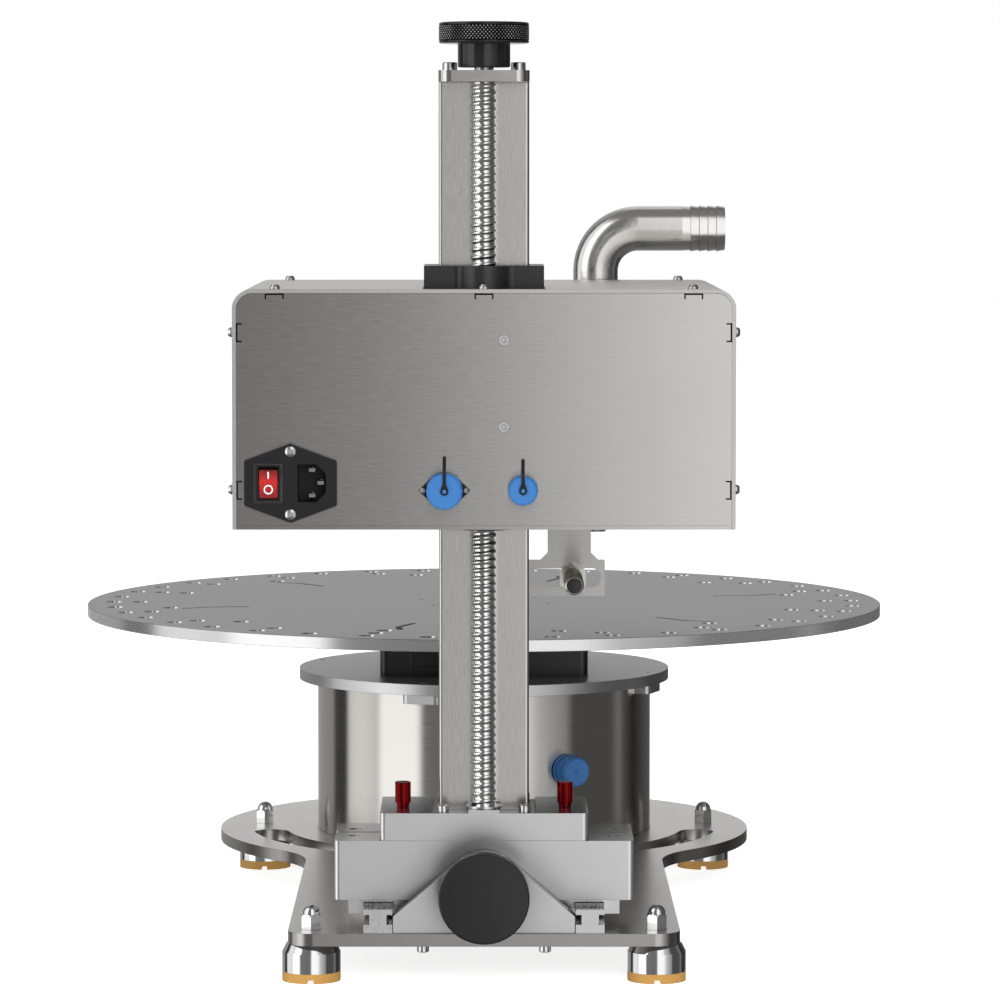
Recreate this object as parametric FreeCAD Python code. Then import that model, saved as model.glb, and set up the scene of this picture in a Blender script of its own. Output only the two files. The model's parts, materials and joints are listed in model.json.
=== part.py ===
import FreeCAD, Part
import math
import os

# Honey filling and dosing machine with a rotary bottle table, in millimetres, +Z up.
# The sub-parts are drawn about the lifting screw: x = 0 is the machine's centre line, y = 0 the axis
# of the lifting screw, +y runs from the back of the machine to its turntable, z = 0 the floor.
# write() then moves every piece by ROW_SHIFT_Y, which centres the machine's depth on the origin.

V = FreeCAD.Vector
X_AXIS = V(1, 0, 0)
Y_AXIS = V(0, 1, 0)
Z_AXIS = V(0, 0, 1)

# base plate and feet
FOOT_HEIGHT = 24.0
PAD_HEIGHT = 6.0
FOOT_R = 18.3
PLATE_T = 8.0
PLATE_TOP = FOOT_HEIGHT + PLATE_T
PLATE_NEAR_Y = -30.0
PLATE_HALF_W = 122.5
PLATE_CORNER_R = 16.0
WAIST_R = 75.0
ROUND_R = 190.0
NEAR_FEET = (108.0, -10.0)
FAR_FEET = (159.0, 477.0)
STUD_R = 4.0
WINDOW_R_IN = 143.5
WINDOW_R_OUT = 168.0
WINDOW_FROM = 192.5
WINDOW_TO = 232.0
CABLE_HOLE_R = 12.0

# turntable and its drum
TABLE_Y = 463.0
TABLE_R = 285.0
TABLE_TOP = 194.7
TABLE_T = 8.0
TABLE_HOLE_TURN = 1.0
OUTER_HOLES = (40, 266.0, 0.0)
MIDDLE_HOLES = (20, 247.0, 0.0)
INNER_HOLES = (12, 228.0, 12.0)
CENTRE_HOLES = (6, 48.0, 40.0)
HUB_HOLES = (6, 26.0, 0.0)
TABLE_HOLE_R = 2.6
TABLE_SINK_R = 6.2
TABLE_SINK_LOW_R = 5.4
SLOT_R = 2.2
DRUM_R = 120.0
DRUM_WALL = 3.0
DRUM_TOP = 140.0
DRUM_PLATE_R = 133.0
DRUM_PLATE_T = 7.7
LUG_ANGLES = (-110.0, -20.0, 70.0, 160.0)
LUG_HALF_W = 14.0
PLATFORM_HALF = 73.5
PLATFORM_TOP = 183.7
PINION_OFFSET = 36.0
HUB_FLANGE_R = 38.5
HUB_NECK_R = 32.0
DRUM_SOCKET_ANGLE = -61.4
DRUM_SOCKET_Z = 85.6

# cross slide: rails, carriage and cross screw
RAIL_X = 66.0
RAIL_W = 18.0
RAIL_H = 15.1
RAIL_FAR_Y = 250.0
RAIL_SINK = 6.2
GROOVE_DEPTH = 3.6
GROOVE_LOW = 5.6
GROOVE_HIGH = 11.7
BLOCK_W = 38.0
BLOCK_LOW = PLATE_TOP + 8.0
CARRIAGE_LOW = 50.7
CARRIAGE_HALF_W = 93.5
CARRIAGE_TOP = 88.0
CARRIAGE_NEAR_Y = -14.0
CARRIAGE_SPLIT_Y = 26.0
CARRIAGE_FAR_Y = 66.0
CARRIAGE_GAP = 3.0
BLOCK_EDGE_R = 3.2
UPPER_HALF_W = 65.0
UPPER_TOP = 105.3
UPPER_FAR_Y = 66.0
CROSS_Z = 58.0
BRACKET_NEAR_Y = -29.0
BRACKET_T = 14.0
BRACKET_HALF_W = 56.5
BRACKET_SIDE_H = 10.7
BRACKET_BOSS_R = 24.6
FAR_BEARING_Y = 200.0

# screws and knobs
SCREW_R = 8.0
JOURNAL_R = 6.0
RUNNING = 0.05
KNOB_R = 28.1
KNOB_T = 13.1
KNOB_HUB_R = 16.3
CROSS_KNOB_Y = -60.0
LIFT_KNOB_TOP = 596.7
LIFT_KNOB_T = 13.1

# column
COLUMN_HALF_W = 28.25
COLUMN_NEAR_Y = 12.0
COLUMN_FAR_Y = 42.0
COLUMN_WALL = 3.0
COLUMN_TOP = 560.0
CAP_T = 7.0
FOOT_PLATE_HALF_W = 32.5
FOOT_PLATE_T = 4.5
FOOT_PLATE_TOP = UPPER_TOP - 1.5

# head housing
HEAD_HALF_W = 155.5
HEAD_LOW = 283.7
HEAD_HIGH = 432.2
HEAD_NEAR_Y = -28.0
HEAD_FAR_Y = 222.0
SHEET = 2.5
HEAD_CORNER_R = 12.5
NOTCH_SPAN = 11.5
NOTCH_LEG = 3.4
NOTCH_W = 0.7
NOTCH_DEPTH = 1.2
COVER_SCREW_XS = (-129.2, 0.0, 129.2)
COVER_SCREW_ZS = (308.1, 405.5)
SLIDER_HALF_W = 37.3
SLIDER_LOW = 282.0
SLIDER_HIGH = 446.2
SLIDER_FLAT_Y = -6.0
SLIDER_FAR_Y = 52.0
SLIDER_BOSS_R = 16.0
SLIDER_FILLET_R = 6.0

# power inlet and sockets on the back plate
INLET_X = -119.4
INLET_Z = 312.6
PLUG_X = 13.1
INLET_SCREW_Z = 19.5
ROCKER_X = -13.7
ROCKER_HALF_W = 5.6
ROCKER_HALF_H = 8.8
ROCKER_PIN_R = 1.2
SOCKET_SCREW_X = 13.3
LEFT_SOCKET = (-24.45, 308.05, 11.5)
RIGHT_SOCKET = (24.1, 308.4, 9.4)
RIB_R = 1.6
RIB_RISE = 0.45

# pump, pipe and nozzle
PUMP_X = 75.0
PUMP_Y = 245.0
PUMP_Z = 340.0
GEAR_SPREAD = 12.0
GEAR_TIP_R = 13.6
GEAR_ROOT_R = 9.6
GEAR_TEETH = 12
GEAR_NEAR_Y = 234.2
GEAR_FAR_Y = 255.8
PUMP_FAR_Y = 257.0
PUMP_COVER_T = 10.0
PIPE_R = 15.0
PIPE_BORE_R = 13.0
PIPE_Z = 466.0
PIPE_BEND_R = 28.2
PIPE_STRAIGHT_X = 132.8
PIPE_END_X = 161.6
BARBS = 5
BARB_CREST_R = 15.5
BARB_ROOT_R = 14.6

# bottle sensor
SENSOR_X = 58.0
SENSOR_Z = 239.4
SENSOR_R = 6.0
SENSOR_PLATE_Y = 140.0
SLOT_X_LOW = 36.0
SLOT_X_HIGH = 76.6

ROW_SHIFT_Y = -(CROSS_KNOB_Y + TABLE_Y + TABLE_R) / 2.0


def block(x0, x1, y0, y1, z0, z1):
    return Part.makeBox(x1 - x0, y1 - y0, z1 - z0, V(x0, y0, z0))


def rod(x, y, z, radius, length, axis=Z_AXIS):
    return Part.makeCylinder(radius, length, V(x, y, z), axis)


def ring(x, y, z, outer, inner, length, axis=Z_AXIS):
    return rod(x, y, z, outer, length, axis).cut(rod(x, y, z, inner, length, axis))


def cone(x, y, z, low_r, high_r, length, axis=Z_AXIS):
    return Part.makeCone(low_r, high_r, length, V(x, y, z), axis)


def join(shapes):
    if len(shapes) == 1:
        return shapes[0]
    return shapes[0].multiFuse(shapes[1:]).removeSplitter()


def group(shapes):
    return Part.makeCompound(shapes)


def slab(points, z0, z1):
    """A straight-sided outline in the XY plane, raised from z0 to z1."""
    wire = Part.makePolygon([V(x, y, z0) for x, y in points + points[:1]])
    return Part.Face(wire).extrude(V(0, 0, z1 - z0))


def wall(points, y0, y1):
    """A straight-sided outline in the XZ plane, pushed back from y0 to y1."""
    wire = Part.makePolygon([V(x, y0, z) for x, z in points + points[:1]])
    return Part.Face(wire).extrude(V(0, y1 - y0, 0))


def arc(centre, radius, start, end, z=0.0):
    """An arc in the XY plane about centre, from the start angle to the end angle in degrees."""
    ends = []
    for angle in (start, (start + end) / 2.0, end):
        turn = math.radians(angle)
        ends.append(V(centre[0] + radius * math.cos(turn), centre[1] + radius * math.sin(turn), z))
    return Part.Arc(*ends).toShape()


def chain(edges, z0, z1):
    """A closed outline of edges given in order, raised from z0 to z1."""
    wire = Part.Wire(Part.__sortEdges__(edges))
    return Part.Face(wire).extrude(V(0, 0, z1 - z0))


def line(a, b, z=0.0):
    return Part.makeLine(V(a[0], a[1], z), V(b[0], b[1], z))


def polar(radius, angle, centre=(0.0, 0.0)):
    turn = math.radians(angle)
    return (centre[0] + radius * math.cos(turn), centre[1] + radius * math.sin(turn))


def hexagon(x, y, z, across_flats, height):
    corner = across_flats / math.sqrt(3.0)
    return slab([polar(corner, 60.0 * k + 30.0, (x, y)) for k in range(6)], z, z + height)


def upright_edges(shape, test):
    """Vertical edges whose x and y pass the test."""
    found = []
    for edge in shape.Edges:
        low = edge.BoundBox
        if low.XLength < 0.01 and low.YLength < 0.01 and test(low.XMin, low.YMin):
            found.append(edge)
    return found


def along(shape, axis):
    """Turns a piece drawn along +Z about the origin so that it lies along the axis."""
    turned = shape.copy()
    turned.Placement = FreeCAD.Placement(V(0, 0, 0), FreeCAD.Rotation(Z_AXIS, axis)) * turned.Placement
    return turned


def moved(shape, x, y, z):
    copy = shape.copy()
    copy.translate(V(x, y, z))
    return copy


def socket_screw(x, y, z, head_r, head_h, shank_r, shank_l, axis=Z_AXIS):
    """A socket head screw whose head stands on the point, pointing along the axis."""
    head = rod(0, 0, 0, head_r, head_h)
    head = head.makeChamfer(0.5, [e for e in head.Edges if abs(e.BoundBox.ZMin - head_h) < 0.01
                                  and e.BoundBox.ZLength < 0.01])
    shank = rod(0, 0, -shank_l, shank_r, shank_l)
    socket = hexagon(0, 0, head_h - 0.6 * head_h, head_r * 0.95, head_h)
    return moved(along(head.fuse(shank).cut(socket), axis), x, y, z)


def flush_screw(x, y, z, head_r, depth, shank_r, shank_l, axis=Z_AXIS, rise=0.0):
    """A countersunk screw whose head ends at the point, facing along the axis: flat, or domed by the rise."""
    head = cone(0, 0, -depth, shank_r, head_r, depth)
    if rise > 0.0:
        ball_r = (head_r ** 2 + rise ** 2) / (2.0 * rise)
        ball = Part.makeSphere(ball_r, V(0, 0, rise - ball_r))
        head = head.fuse(ball.common(rod(0, 0, 0, head_r, rise + 0.1)))
    shank = rod(0, 0, -shank_l, shank_r, shank_l - depth)
    socket = hexagon(0, 0, -0.7 * depth, head_r * 0.95, depth + rise)
    return moved(along(head.fuse(shank).cut(socket), axis), x, y, z)


# ---------------------------------------------------------------- base

def waist():
    """Centre of the concave arc between the plate's straight side and its round end."""
    x = PLATE_HALF_W + WAIST_R
    return (x, TABLE_Y - math.sqrt((ROUND_R + WAIST_R) ** 2 - x ** 2))


def window(side):
    """One hand opening: a curved slot round the drum, side -1 left and +1 right."""
    middle_r = (WINDOW_R_IN + WINDOW_R_OUT) / 2.0
    end_r = (WINDOW_R_OUT - WINDOW_R_IN) / 2.0
    centre = (0.0, TABLE_Y)
    start = polar(middle_r, WINDOW_FROM, centre)
    end = polar(middle_r, WINDOW_TO, centre)
    edges = [arc(centre, WINDOW_R_OUT, WINDOW_FROM, WINDOW_TO, FOOT_HEIGHT),
             arc(end, end_r, WINDOW_TO, WINDOW_TO + 180.0, FOOT_HEIGHT),
             arc(centre, WINDOW_R_IN, WINDOW_TO, WINDOW_FROM, FOOT_HEIGHT),
             arc(start, end_r, WINDOW_FROM + 180.0, WINDOW_FROM + 360.0, FOOT_HEIGHT)]
    shape = chain(edges, FOOT_HEIGHT, PLATE_TOP)
    return shape.mirror(V(0, 0, 0), X_AXIS) if side > 0 else shape


def foot_places():
    return [(side * x, y) for x, y in (NEAR_FEET, FAR_FEET) for side in (-1, 1)]


def bracket_bolt_places():
    return [(side * 38.0, BRACKET_NEAR_Y + BRACKET_T / 2.0) for side in (-1, 1)]


def far_bearing_bolt_places():
    return [(side * 17.0, FAR_BEARING_Y + BRACKET_T / 2.0) for side in (-1, 1)]


def base_plate():
    z = FOOT_HEIGHT
    wx, wy = waist()
    meet = math.degrees(math.atan2(TABLE_Y - wy, -wx))
    low_x = PLATE_HALF_W - PLATE_CORNER_R
    low_y = PLATE_NEAR_Y + PLATE_CORNER_R
    round_start = meet - 180.0
    edges = [line((-low_x, PLATE_NEAR_Y), (low_x, PLATE_NEAR_Y), z),
             arc((low_x, low_y), PLATE_CORNER_R, -90.0, 0.0, z),
             line((PLATE_HALF_W, low_y), (PLATE_HALF_W, wy), z),
             arc((wx, wy), WAIST_R, 180.0, meet, z),
             arc((0.0, TABLE_Y), ROUND_R, round_start, 180.0 - round_start, z),
             arc((-wx, wy), WAIST_R, 180.0 - meet, 0.0, z),
             line((-PLATE_HALF_W, wy), (-PLATE_HALF_W, low_y), z),
             arc((-low_x, low_y), PLATE_CORNER_R, 180.0, 270.0, z)]
    plate = chain(edges, z, PLATE_TOP)
    holes = [window(-1), window(1), rod(0, TABLE_Y, z, CABLE_HOLE_R, PLATE_T)]
    holes += [rod(x, y, z, STUD_R + 0.2, PLATE_T) for x, y in foot_places()]
    holes += [rod(x, y, z, 2.5, PLATE_T) for x, y in bracket_bolt_places() + far_bearing_bolt_places()]
    return plate.cut(group(holes))


def feet():
    bodies = []
    pads = []
    nuts = []
    for x, y in foot_places():
        body = join([rod(x, y, PAD_HEIGHT, FOOT_R, 12.4),
                     cone(x, y, PAD_HEIGHT + 12.4, FOOT_R, 15.5, FOOT_HEIGHT - PAD_HEIGHT - 12.4),
                     rod(x, y, FOOT_HEIGHT, STUD_R, PLATE_T + 9.0)])
        bodies.append(body)
        pad = rod(x, y, 0, FOOT_R, PAD_HEIGHT)
        pads.append(pad.cut(block(x - 2.0, x + 2.0, y - 30, y + 30, 0, 2.5)))
        nut = hexagon(x, y, PLATE_TOP, 12.0, 9.6)
        nut = nut.common(cone(x, y, PLATE_TOP, 10.0, 6.1, 10.4))
        dome = Part.makeSphere(5.5, V(x, y, PLATE_TOP + 10.0))
        nut = nut.fuse(dome)
        nuts.append(nut.cut(rod(x, y, PLATE_TOP, STUD_R, 9.0)))
    return group(bodies), group(pads), group(nuts)


def rail_screw_places():
    return [(side * RAIL_X, BRACKET_NEAR_Y + 10.0 + 60.0 * k) for side in (-1, 1) for k in range(5)]


def linear_rails():
    rails = []
    for side in (-1, 1):
        x = side * RAIL_X
        rail = block(x - RAIL_W / 2, x + RAIL_W / 2, BRACKET_NEAR_Y, RAIL_FAR_Y,
                     PLATE_TOP, PLATE_TOP + RAIL_H)
        for edge in (-1, 1):
            inner = x + edge * (RAIL_W / 2 - GROOVE_DEPTH)
            outer = x + edge * (RAIL_W / 2 + 1.0)
            rail = rail.cut(block(min(inner, outer), max(inner, outer), BRACKET_NEAR_Y - 1,
                                  RAIL_FAR_Y + 1, PLATE_TOP + GROOVE_LOW, PLATE_TOP + GROOVE_HIGH))
        rails.append(rail)
    holes = []
    for x, y in rail_screw_places():
        holes.append(rod(x, y, PLATE_TOP, 2.25, RAIL_H))
        holes.append(rod(x, y, PLATE_TOP + RAIL_H - RAIL_SINK, 4.4, RAIL_SINK))
    return group([rail.cut(group(holes)) for rail in rails])


def rail_screws():
    low = PLATE_TOP + RAIL_H - RAIL_SINK
    return group([socket_screw(x, y, low, 3.5, 4.0, 2.2, low - PLATE_TOP) for x, y in rail_screw_places()])


def screw_bracket():
    """Triangular end support of the cross screw, tangent to a round boss."""
    side_z = PLATE_TOP + BRACKET_SIDE_H
    reach = math.hypot(BRACKET_HALF_W, CROSS_Z - side_z)
    to_boss = math.degrees(math.atan2(CROSS_Z - side_z, BRACKET_HALF_W))
    lean = math.degrees(math.asin(BRACKET_BOSS_R / reach)) + to_boss
    touch_x, touch_z = polar(BRACKET_BOSS_R, 90.0 - lean, (0.0, CROSS_Z))
    outline = [(-BRACKET_HALF_W, PLATE_TOP), (BRACKET_HALF_W, PLATE_TOP), (BRACKET_HALF_W, side_z),
               (touch_x, touch_z), (-touch_x, touch_z), (-BRACKET_HALF_W, side_z)]
    far_y = BRACKET_NEAR_Y + BRACKET_T
    bracket = join([wall(outline, BRACKET_NEAR_Y, far_y),
                    rod(0, BRACKET_NEAR_Y, CROSS_Z, BRACKET_BOSS_R, BRACKET_T, Y_AXIS)])
    bracket = bracket.cut(rod(0, BRACKET_NEAR_Y, CROSS_Z, JOURNAL_R + 1.5, BRACKET_T, Y_AXIS))
    bracket = bracket.cut(rod(0, far_y - 9.0, CROSS_Z, 14.0, 9.0, Y_AXIS))
    return bracket.cut(group([rod(x, y, PLATE_TOP, 2.5, 9.0) for x, y in bracket_bolt_places()]))


def far_bearing_block():
    shape = block(-28, 28, FAR_BEARING_Y, FAR_BEARING_Y + BRACKET_T, PLATE_TOP, CROSS_Z + 18.0)
    shape = shape.makeChamfer(6.0, [e for e in shape.Edges if e.BoundBox.ZMin > CROSS_Z
                                    and e.BoundBox.YLength > 10 and e.BoundBox.XLength < 0.1])
    shape = shape.cut(rod(0, FAR_BEARING_Y, CROSS_Z, 14.0, 9.0, Y_AXIS))
    return shape.cut(group([rod(x, y, PLATE_TOP, 2.5, 9.0) for x, y in far_bearing_bolt_places()]))


def cross_bearings():
    places = (BRACKET_NEAR_Y + BRACKET_T - 9.0, FAR_BEARING_Y + 1.0)
    return group([ring(0, y, CROSS_Z, 14.0, JOURNAL_R + RUNNING, 8.0, Y_AXIS) for y in places])


def bracket_bolts():
    """Cap screws that come up through the plate into both screw supports."""
    bolts = []
    for x, y in bracket_bolt_places() + far_bearing_bolt_places():
        bolts.append(socket_screw(x, y, FOOT_HEIGHT, 3.75, 4.5, 2.45, PLATE_T + 8.0, V(0, 0, -1)))
    return group(bolts)


# ---------------------------------------------------------------- drum and turntable

def drum_socket_frame(shape):
    """Places a piece drawn along +Z, with its face at z = 0, on the drum's wall."""
    direction = V(*polar(1.0, DRUM_SOCKET_ANGLE), 0)
    x, y = polar(DRUM_R, DRUM_SOCKET_ANGLE, (0.0, TABLE_Y))
    return moved(along(shape, direction), x, y, DRUM_SOCKET_Z)


def drum_shell():
    shell = ring(0, TABLE_Y, PLATE_TOP, DRUM_R, DRUM_R - DRUM_WALL, DRUM_TOP - PLATE_TOP)
    return shell.cut(drum_socket_frame(rod(0, 0, -10, 8.1, 20)))


def drum_lugs():
    lugs = []
    for angle in LUG_ANGLES:
        lug = block(DRUM_R - 3.0, DRUM_R + 10.0, -LUG_HALF_W, LUG_HALF_W, DRUM_TOP - 6.5, DRUM_TOP)
        lug = lug.makeFillet(4.0, upright_edges(lug, lambda x, y: x > DRUM_R))
        lug = lug.cut(rod(0, 0, DRUM_TOP - 10, DRUM_R + 0.02, 12))
        lug = lug.cut(rod(DRUM_R + 5.0, 0, DRUM_TOP - 6.5, 2.0, 6.5))
        lug.rotate(V(0, 0, 0), Z_AXIS, angle)
        lugs.append(moved(lug, 0, TABLE_Y, 0))
    return lugs


def drum_screw_places():
    return [polar(DRUM_R + 5.0, angle, (0.0, TABLE_Y)) for angle in LUG_ANGLES]


def platform_screw_places():
    reach = PLATFORM_HALF - 8.0
    return [(a * reach, TABLE_Y + b * reach) for a in (-1, 1) for b in (-1, 1)]


def drum_plate():
    plate = join([rod(0, TABLE_Y, DRUM_TOP, DRUM_PLATE_R, DRUM_PLATE_T)] + drum_lugs())
    top = DRUM_TOP + DRUM_PLATE_T
    holes = [rod(0, TABLE_Y - PINION_OFFSET, DRUM_TOP, 12.0, DRUM_PLATE_T)]
    for x, y in drum_screw_places():
        holes.append(cone(x, y, top - 2.3, 2.0, 4.3, 2.3))
        holes.append(rod(x, y, DRUM_TOP - 6.5, 2.0, DRUM_PLATE_T + 6.5))
    holes += [rod(x, y, DRUM_TOP, 2.0, DRUM_PLATE_T) for x, y in platform_screw_places()]
    return plate.cut(group(holes))


def drum_screws():
    top = DRUM_TOP + DRUM_PLATE_T
    screws = [flush_screw(x, y, top - 0.1, 4.2, 2.2, 1.95, 13.0) for x, y in drum_screw_places()]
    return group(screws)


def platform_housing():
    """Gear case of the rotary drive, with a shallow panel sunk into its near face."""
    low = DRUM_TOP + DRUM_PLATE_T
    half = PLATFORM_HALF
    near = TABLE_Y - half
    case = block(-half, half, near, TABLE_Y + half, low, PLATFORM_TOP)
    case = case.makeFillet(5.0, upright_edges(case, lambda x, y: True))
    cuts = [block(-51.8, -10.0, near, near + 3.0, low + 5.0, PLATFORM_TOP - 5.0),
            rod(0, TABLE_Y, low + 5.0, 52.0, 18.0),
            rod(0, TABLE_Y, low + 22.0, HUB_NECK_R + 0.3, 30.0),
            rod(0, TABLE_Y - PINION_OFFSET, low, 7.0, 10.0)]
    for x, y in platform_screw_places():
        cuts.append(rod(x, y, low, 2.0, 60.0))
        cuts.append(rod(x, y, PLATFORM_TOP - 5.0, 3.8, 6.0))
    return case.cut(group(cuts))


def platform_screws():
    low = PLATFORM_TOP - 5.0
    reach = low - DRUM_TOP
    return group([socket_screw(x, y, low, 3.5, 4.0, 1.95, reach) for x, y in platform_screw_places()])


def table_motor():
    """Stepper motor hanging inside the drum below the gear case."""
    x, y = 0.0, TABLE_Y - PINION_OFFSET
    body = block(x - 28.5, x + 28.5, y - 28.5, y + 28.5, 78.0, 138.0)
    body = body.makeChamfer(4.0, upright_edges(body, lambda a, b: True))
    collar = rod(x, y, 138.0, 6.0, 2.0)
    case = join([body, collar])
    return case.cut(rod(x, y, 120.0, 3.5, 30.0))


def toothed(centre, root, tip, teeth, z0, z1, tooth_w, turn):
    """A spur gear with straight-flanked teeth."""
    body = rod(centre[0], centre[1], z0, root, z1 - z0)
    blank = [(root - 1.0, -tooth_w * 0.62), (tip, -tooth_w * 0.27), (tip, tooth_w * 0.27),
             (root - 1.0, tooth_w * 0.62)]
    tooth = slab(blank, z0, z1)
    parts = [body]
    for k in range(teeth):
        one = tooth.copy()
        one.rotate(V(0, 0, 0), Z_AXIS, 360.0 * k / teeth + turn)
        parts.append(moved(one, centre[0], centre[1], 0))
    return join(parts)


def table_gear():
    """Hub flange under the turntable with its ring gear below, in one turned piece."""
    low = DRUM_TOP + DRUM_PLATE_T
    gear = toothed((0.0, TABLE_Y), 25.6, 29.0, 36, low + 8.0, low + 18.0, 2.1, 0.0)
    flange_low = PLATFORM_TOP + 0.4
    neck = rod(0, TABLE_Y, low + 18.0, HUB_NECK_R, flange_low - low - 18.0)
    flange = rod(0, TABLE_Y, flange_low, HUB_FLANGE_R, TABLE_TOP - TABLE_T - flange_low)
    hub = join([gear, neck, flange])
    holes = [rod(x, y, TABLE_TOP - TABLE_T - 8.0, 1.6, 20.0) for x, y in ring_places(HUB_HOLES)]
    return hub.cut(group(holes))


def table_pinion():
    low = DRUM_TOP + DRUM_PLATE_T
    centre = (0.0, TABLE_Y - PINION_OFFSET)
    pinion = toothed(centre, 5.9, 9.4, 9, low + 8.0, low + 18.0, 2.1, 90.0 + 20.0)
    return pinion.fuse(rod(centre[0], centre[1], 126.0, 3.5 - RUNNING, low + 8.0 - 126.0))


def ring_places(pattern):
    count, radius, turn = pattern
    return [polar(radius, 360.0 * k / count + turn + TABLE_HOLE_TURN, (0.0, TABLE_Y)) for k in range(count)]


def bent_slot(angle):
    """A narrow slot with a bend in it, used to set bottle guides."""
    low = TABLE_TOP - TABLE_T
    shapes = []
    path = [(174.0, 3.0), (203.0, 1.0), (220.0, 8.0)]
    for (x0, y0), (x1, y1) in zip(path, path[1:]):
        length = math.hypot(x1 - x0, y1 - y0)
        leg = block(0, length, -SLOT_R, SLOT_R, low, TABLE_TOP)
        leg.rotate(V(0, 0, 0), Z_AXIS, math.degrees(math.atan2(y1 - y0, x1 - x0)))
        shapes.append(moved(leg, x0, y0, 0))
    shapes += [rod(x, y, low, SLOT_R, TABLE_T) for x, y in path]
    slot = join(shapes)
    slot.rotate(V(0, 0, 0), Z_AXIS, angle)
    return moved(slot, 0, TABLE_Y, 0)


def turntable():
    low = TABLE_TOP - TABLE_T
    disc = rod(0, TABLE_Y, low, TABLE_R, TABLE_T)
    disc = disc.makeChamfer(0.3, [e for e in disc.Edges if e.BoundBox.ZLength < 0.01])
    cuts = []
    for x, y in ring_places(OUTER_HOLES) + ring_places(MIDDLE_HOLES) + ring_places(INNER_HOLES):
        cuts.append(rod(x, y, low, TABLE_HOLE_R, TABLE_T))
        cuts.append(cone(x, y, TABLE_TOP - 2.8, TABLE_SINK_LOW_R, TABLE_SINK_R, 2.8))
    cuts += [rod(x, y, low, 1.7, TABLE_T) for x, y in ring_places(CENTRE_HOLES)]
    for x, y in ring_places(HUB_HOLES):
        cuts.append(rod(x, y, low, 1.7, TABLE_T))
        cuts.append(cone(x, y, TABLE_TOP - 2.0, 1.7, 3.7, 2.0))
    cuts += [bent_slot(60.0 * k + 13.0) for k in range(6)]
    return disc.cut(group(cuts))


def table_screws():
    return group([flush_screw(x, y, TABLE_TOP - 0.1, 3.6, 1.9, 1.55, 11.0)
                  for x, y in ring_places(HUB_HOLES)])


def drum_socket():
    """Round connector on the drum: flange outside, threaded neck and body inside."""
    flange = rod(0, 0, 0.6, 11.0, 3.0)
    neck = rod(0, 0, -12.0, 8.0, 19.0)
    return drum_socket_frame(join([flange, neck]).cut(rod(0, 0, 2.0, 5.5, 10.0)))


def grip_cap(radius, length, bore, teeth, stud_r, stud_h):
    """A screw cap along +Z with shallow finger ribs round its rim and a stud at the middle of its face."""
    cap = rod(0, 0, 0, radius - RIB_RISE, length)
    cap = cap.makeChamfer(1.2, [e for e in cap.Edges if abs(e.BoundBox.ZMin - length) < 0.01
                                and e.BoundBox.ZLength < 0.01])
    ribs = []
    for k in range(teeth):
        x, y = polar(radius - RIB_R, 360.0 * k / teeth)
        ribs.append(rod(x, y, 0.8, RIB_R, length * 0.55))
    parts = [cap] + ribs
    if stud_r:
        parts.append(rod(0, 0, length, stud_r, stud_h))
    return join(parts).cut(rod(0, 0, 0, bore, length - 2.5))


def drum_cap():
    return drum_socket_frame(moved(grip_cap(10.6, 12.0, 8.3, 18, 1.2, 0.8), 0, 0, 3.9))


# ---------------------------------------------------------------- cross slide

def bearing_blocks():
    blocks = []
    for side in (-1, 1):
        x = side * RAIL_X
        for y0, y1 in ((0.0, CARRIAGE_SPLIT_Y), (CARRIAGE_SPLIT_Y + 8.0, CARRIAGE_FAR_Y - 3.0)):
            body = block(x - BLOCK_W / 2, x + BLOCK_W / 2, y0, y1, BLOCK_LOW, CARRIAGE_LOW)
            top = PLATE_TOP + RAIL_H + 0.3
            gap = RAIL_W / 2 + 0.3
            lip = RAIL_W / 2 - GROOVE_DEPTH + 0.6
            upper = block(x - gap, x + gap, y0 - 1, y1 + 1, PLATE_TOP + GROOVE_HIGH - 0.3, top)
            lower = block(x - lip, x + lip, y0 - 1, y1 + 1, BLOCK_LOW - 1, top)
            blocks.append(body.cut(upper).cut(lower))
    return group(blocks)


def carriage_block(near_y, far_y, hole_y):
    body = block(-CARRIAGE_HALF_W, CARRIAGE_HALF_W, near_y, far_y, CARRIAGE_LOW, CARRIAGE_TOP)
    body = body.makeFillet(BLOCK_EDGE_R, upright_edges(body, lambda x, y: abs(y - CARRIAGE_SPLIT_Y) > 10.0))
    body = body.makeFillet(1.2, upright_edges(body, lambda x, y: abs(y - CARRIAGE_SPLIT_Y) < 10.0))
    passage = rod(0, near_y, CROSS_Z, 13.0, far_y - near_y, Y_AXIS)
    slot = block(-13.0, 13.0, near_y, far_y, CARRIAGE_LOW, CROSS_Z)
    holes = [rod(side * 81.5, hole_y, CARRIAGE_TOP - 14.0, 2.5, 14.0) for side in (-1, 1)]
    holes += [cone(side * 81.5, hole_y, CARRIAGE_TOP - 2.0, 2.5, 4.2, 2.0) for side in (-1, 1)]
    return body.cut(group([passage, slot] + holes))


def cross_nut():
    """Nut of the cross screw, carried between the two carriage blocks."""
    near = CARRIAGE_NEAR_Y + 2.0
    far = CARRIAGE_SPLIT_Y - CARRIAGE_GAP / 2.0 - 1.0
    body = rod(0, near, CROSS_Z, 13.0, far - near, Y_AXIS)
    return body.cut(rod(0, near, CROSS_Z, SCREW_R + RUNNING, far - near, Y_AXIS))


def column_screw_places():
    return [(side * 25.5, y) for side in (-1, 1) for y in (-8.0, 52.0)]


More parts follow.
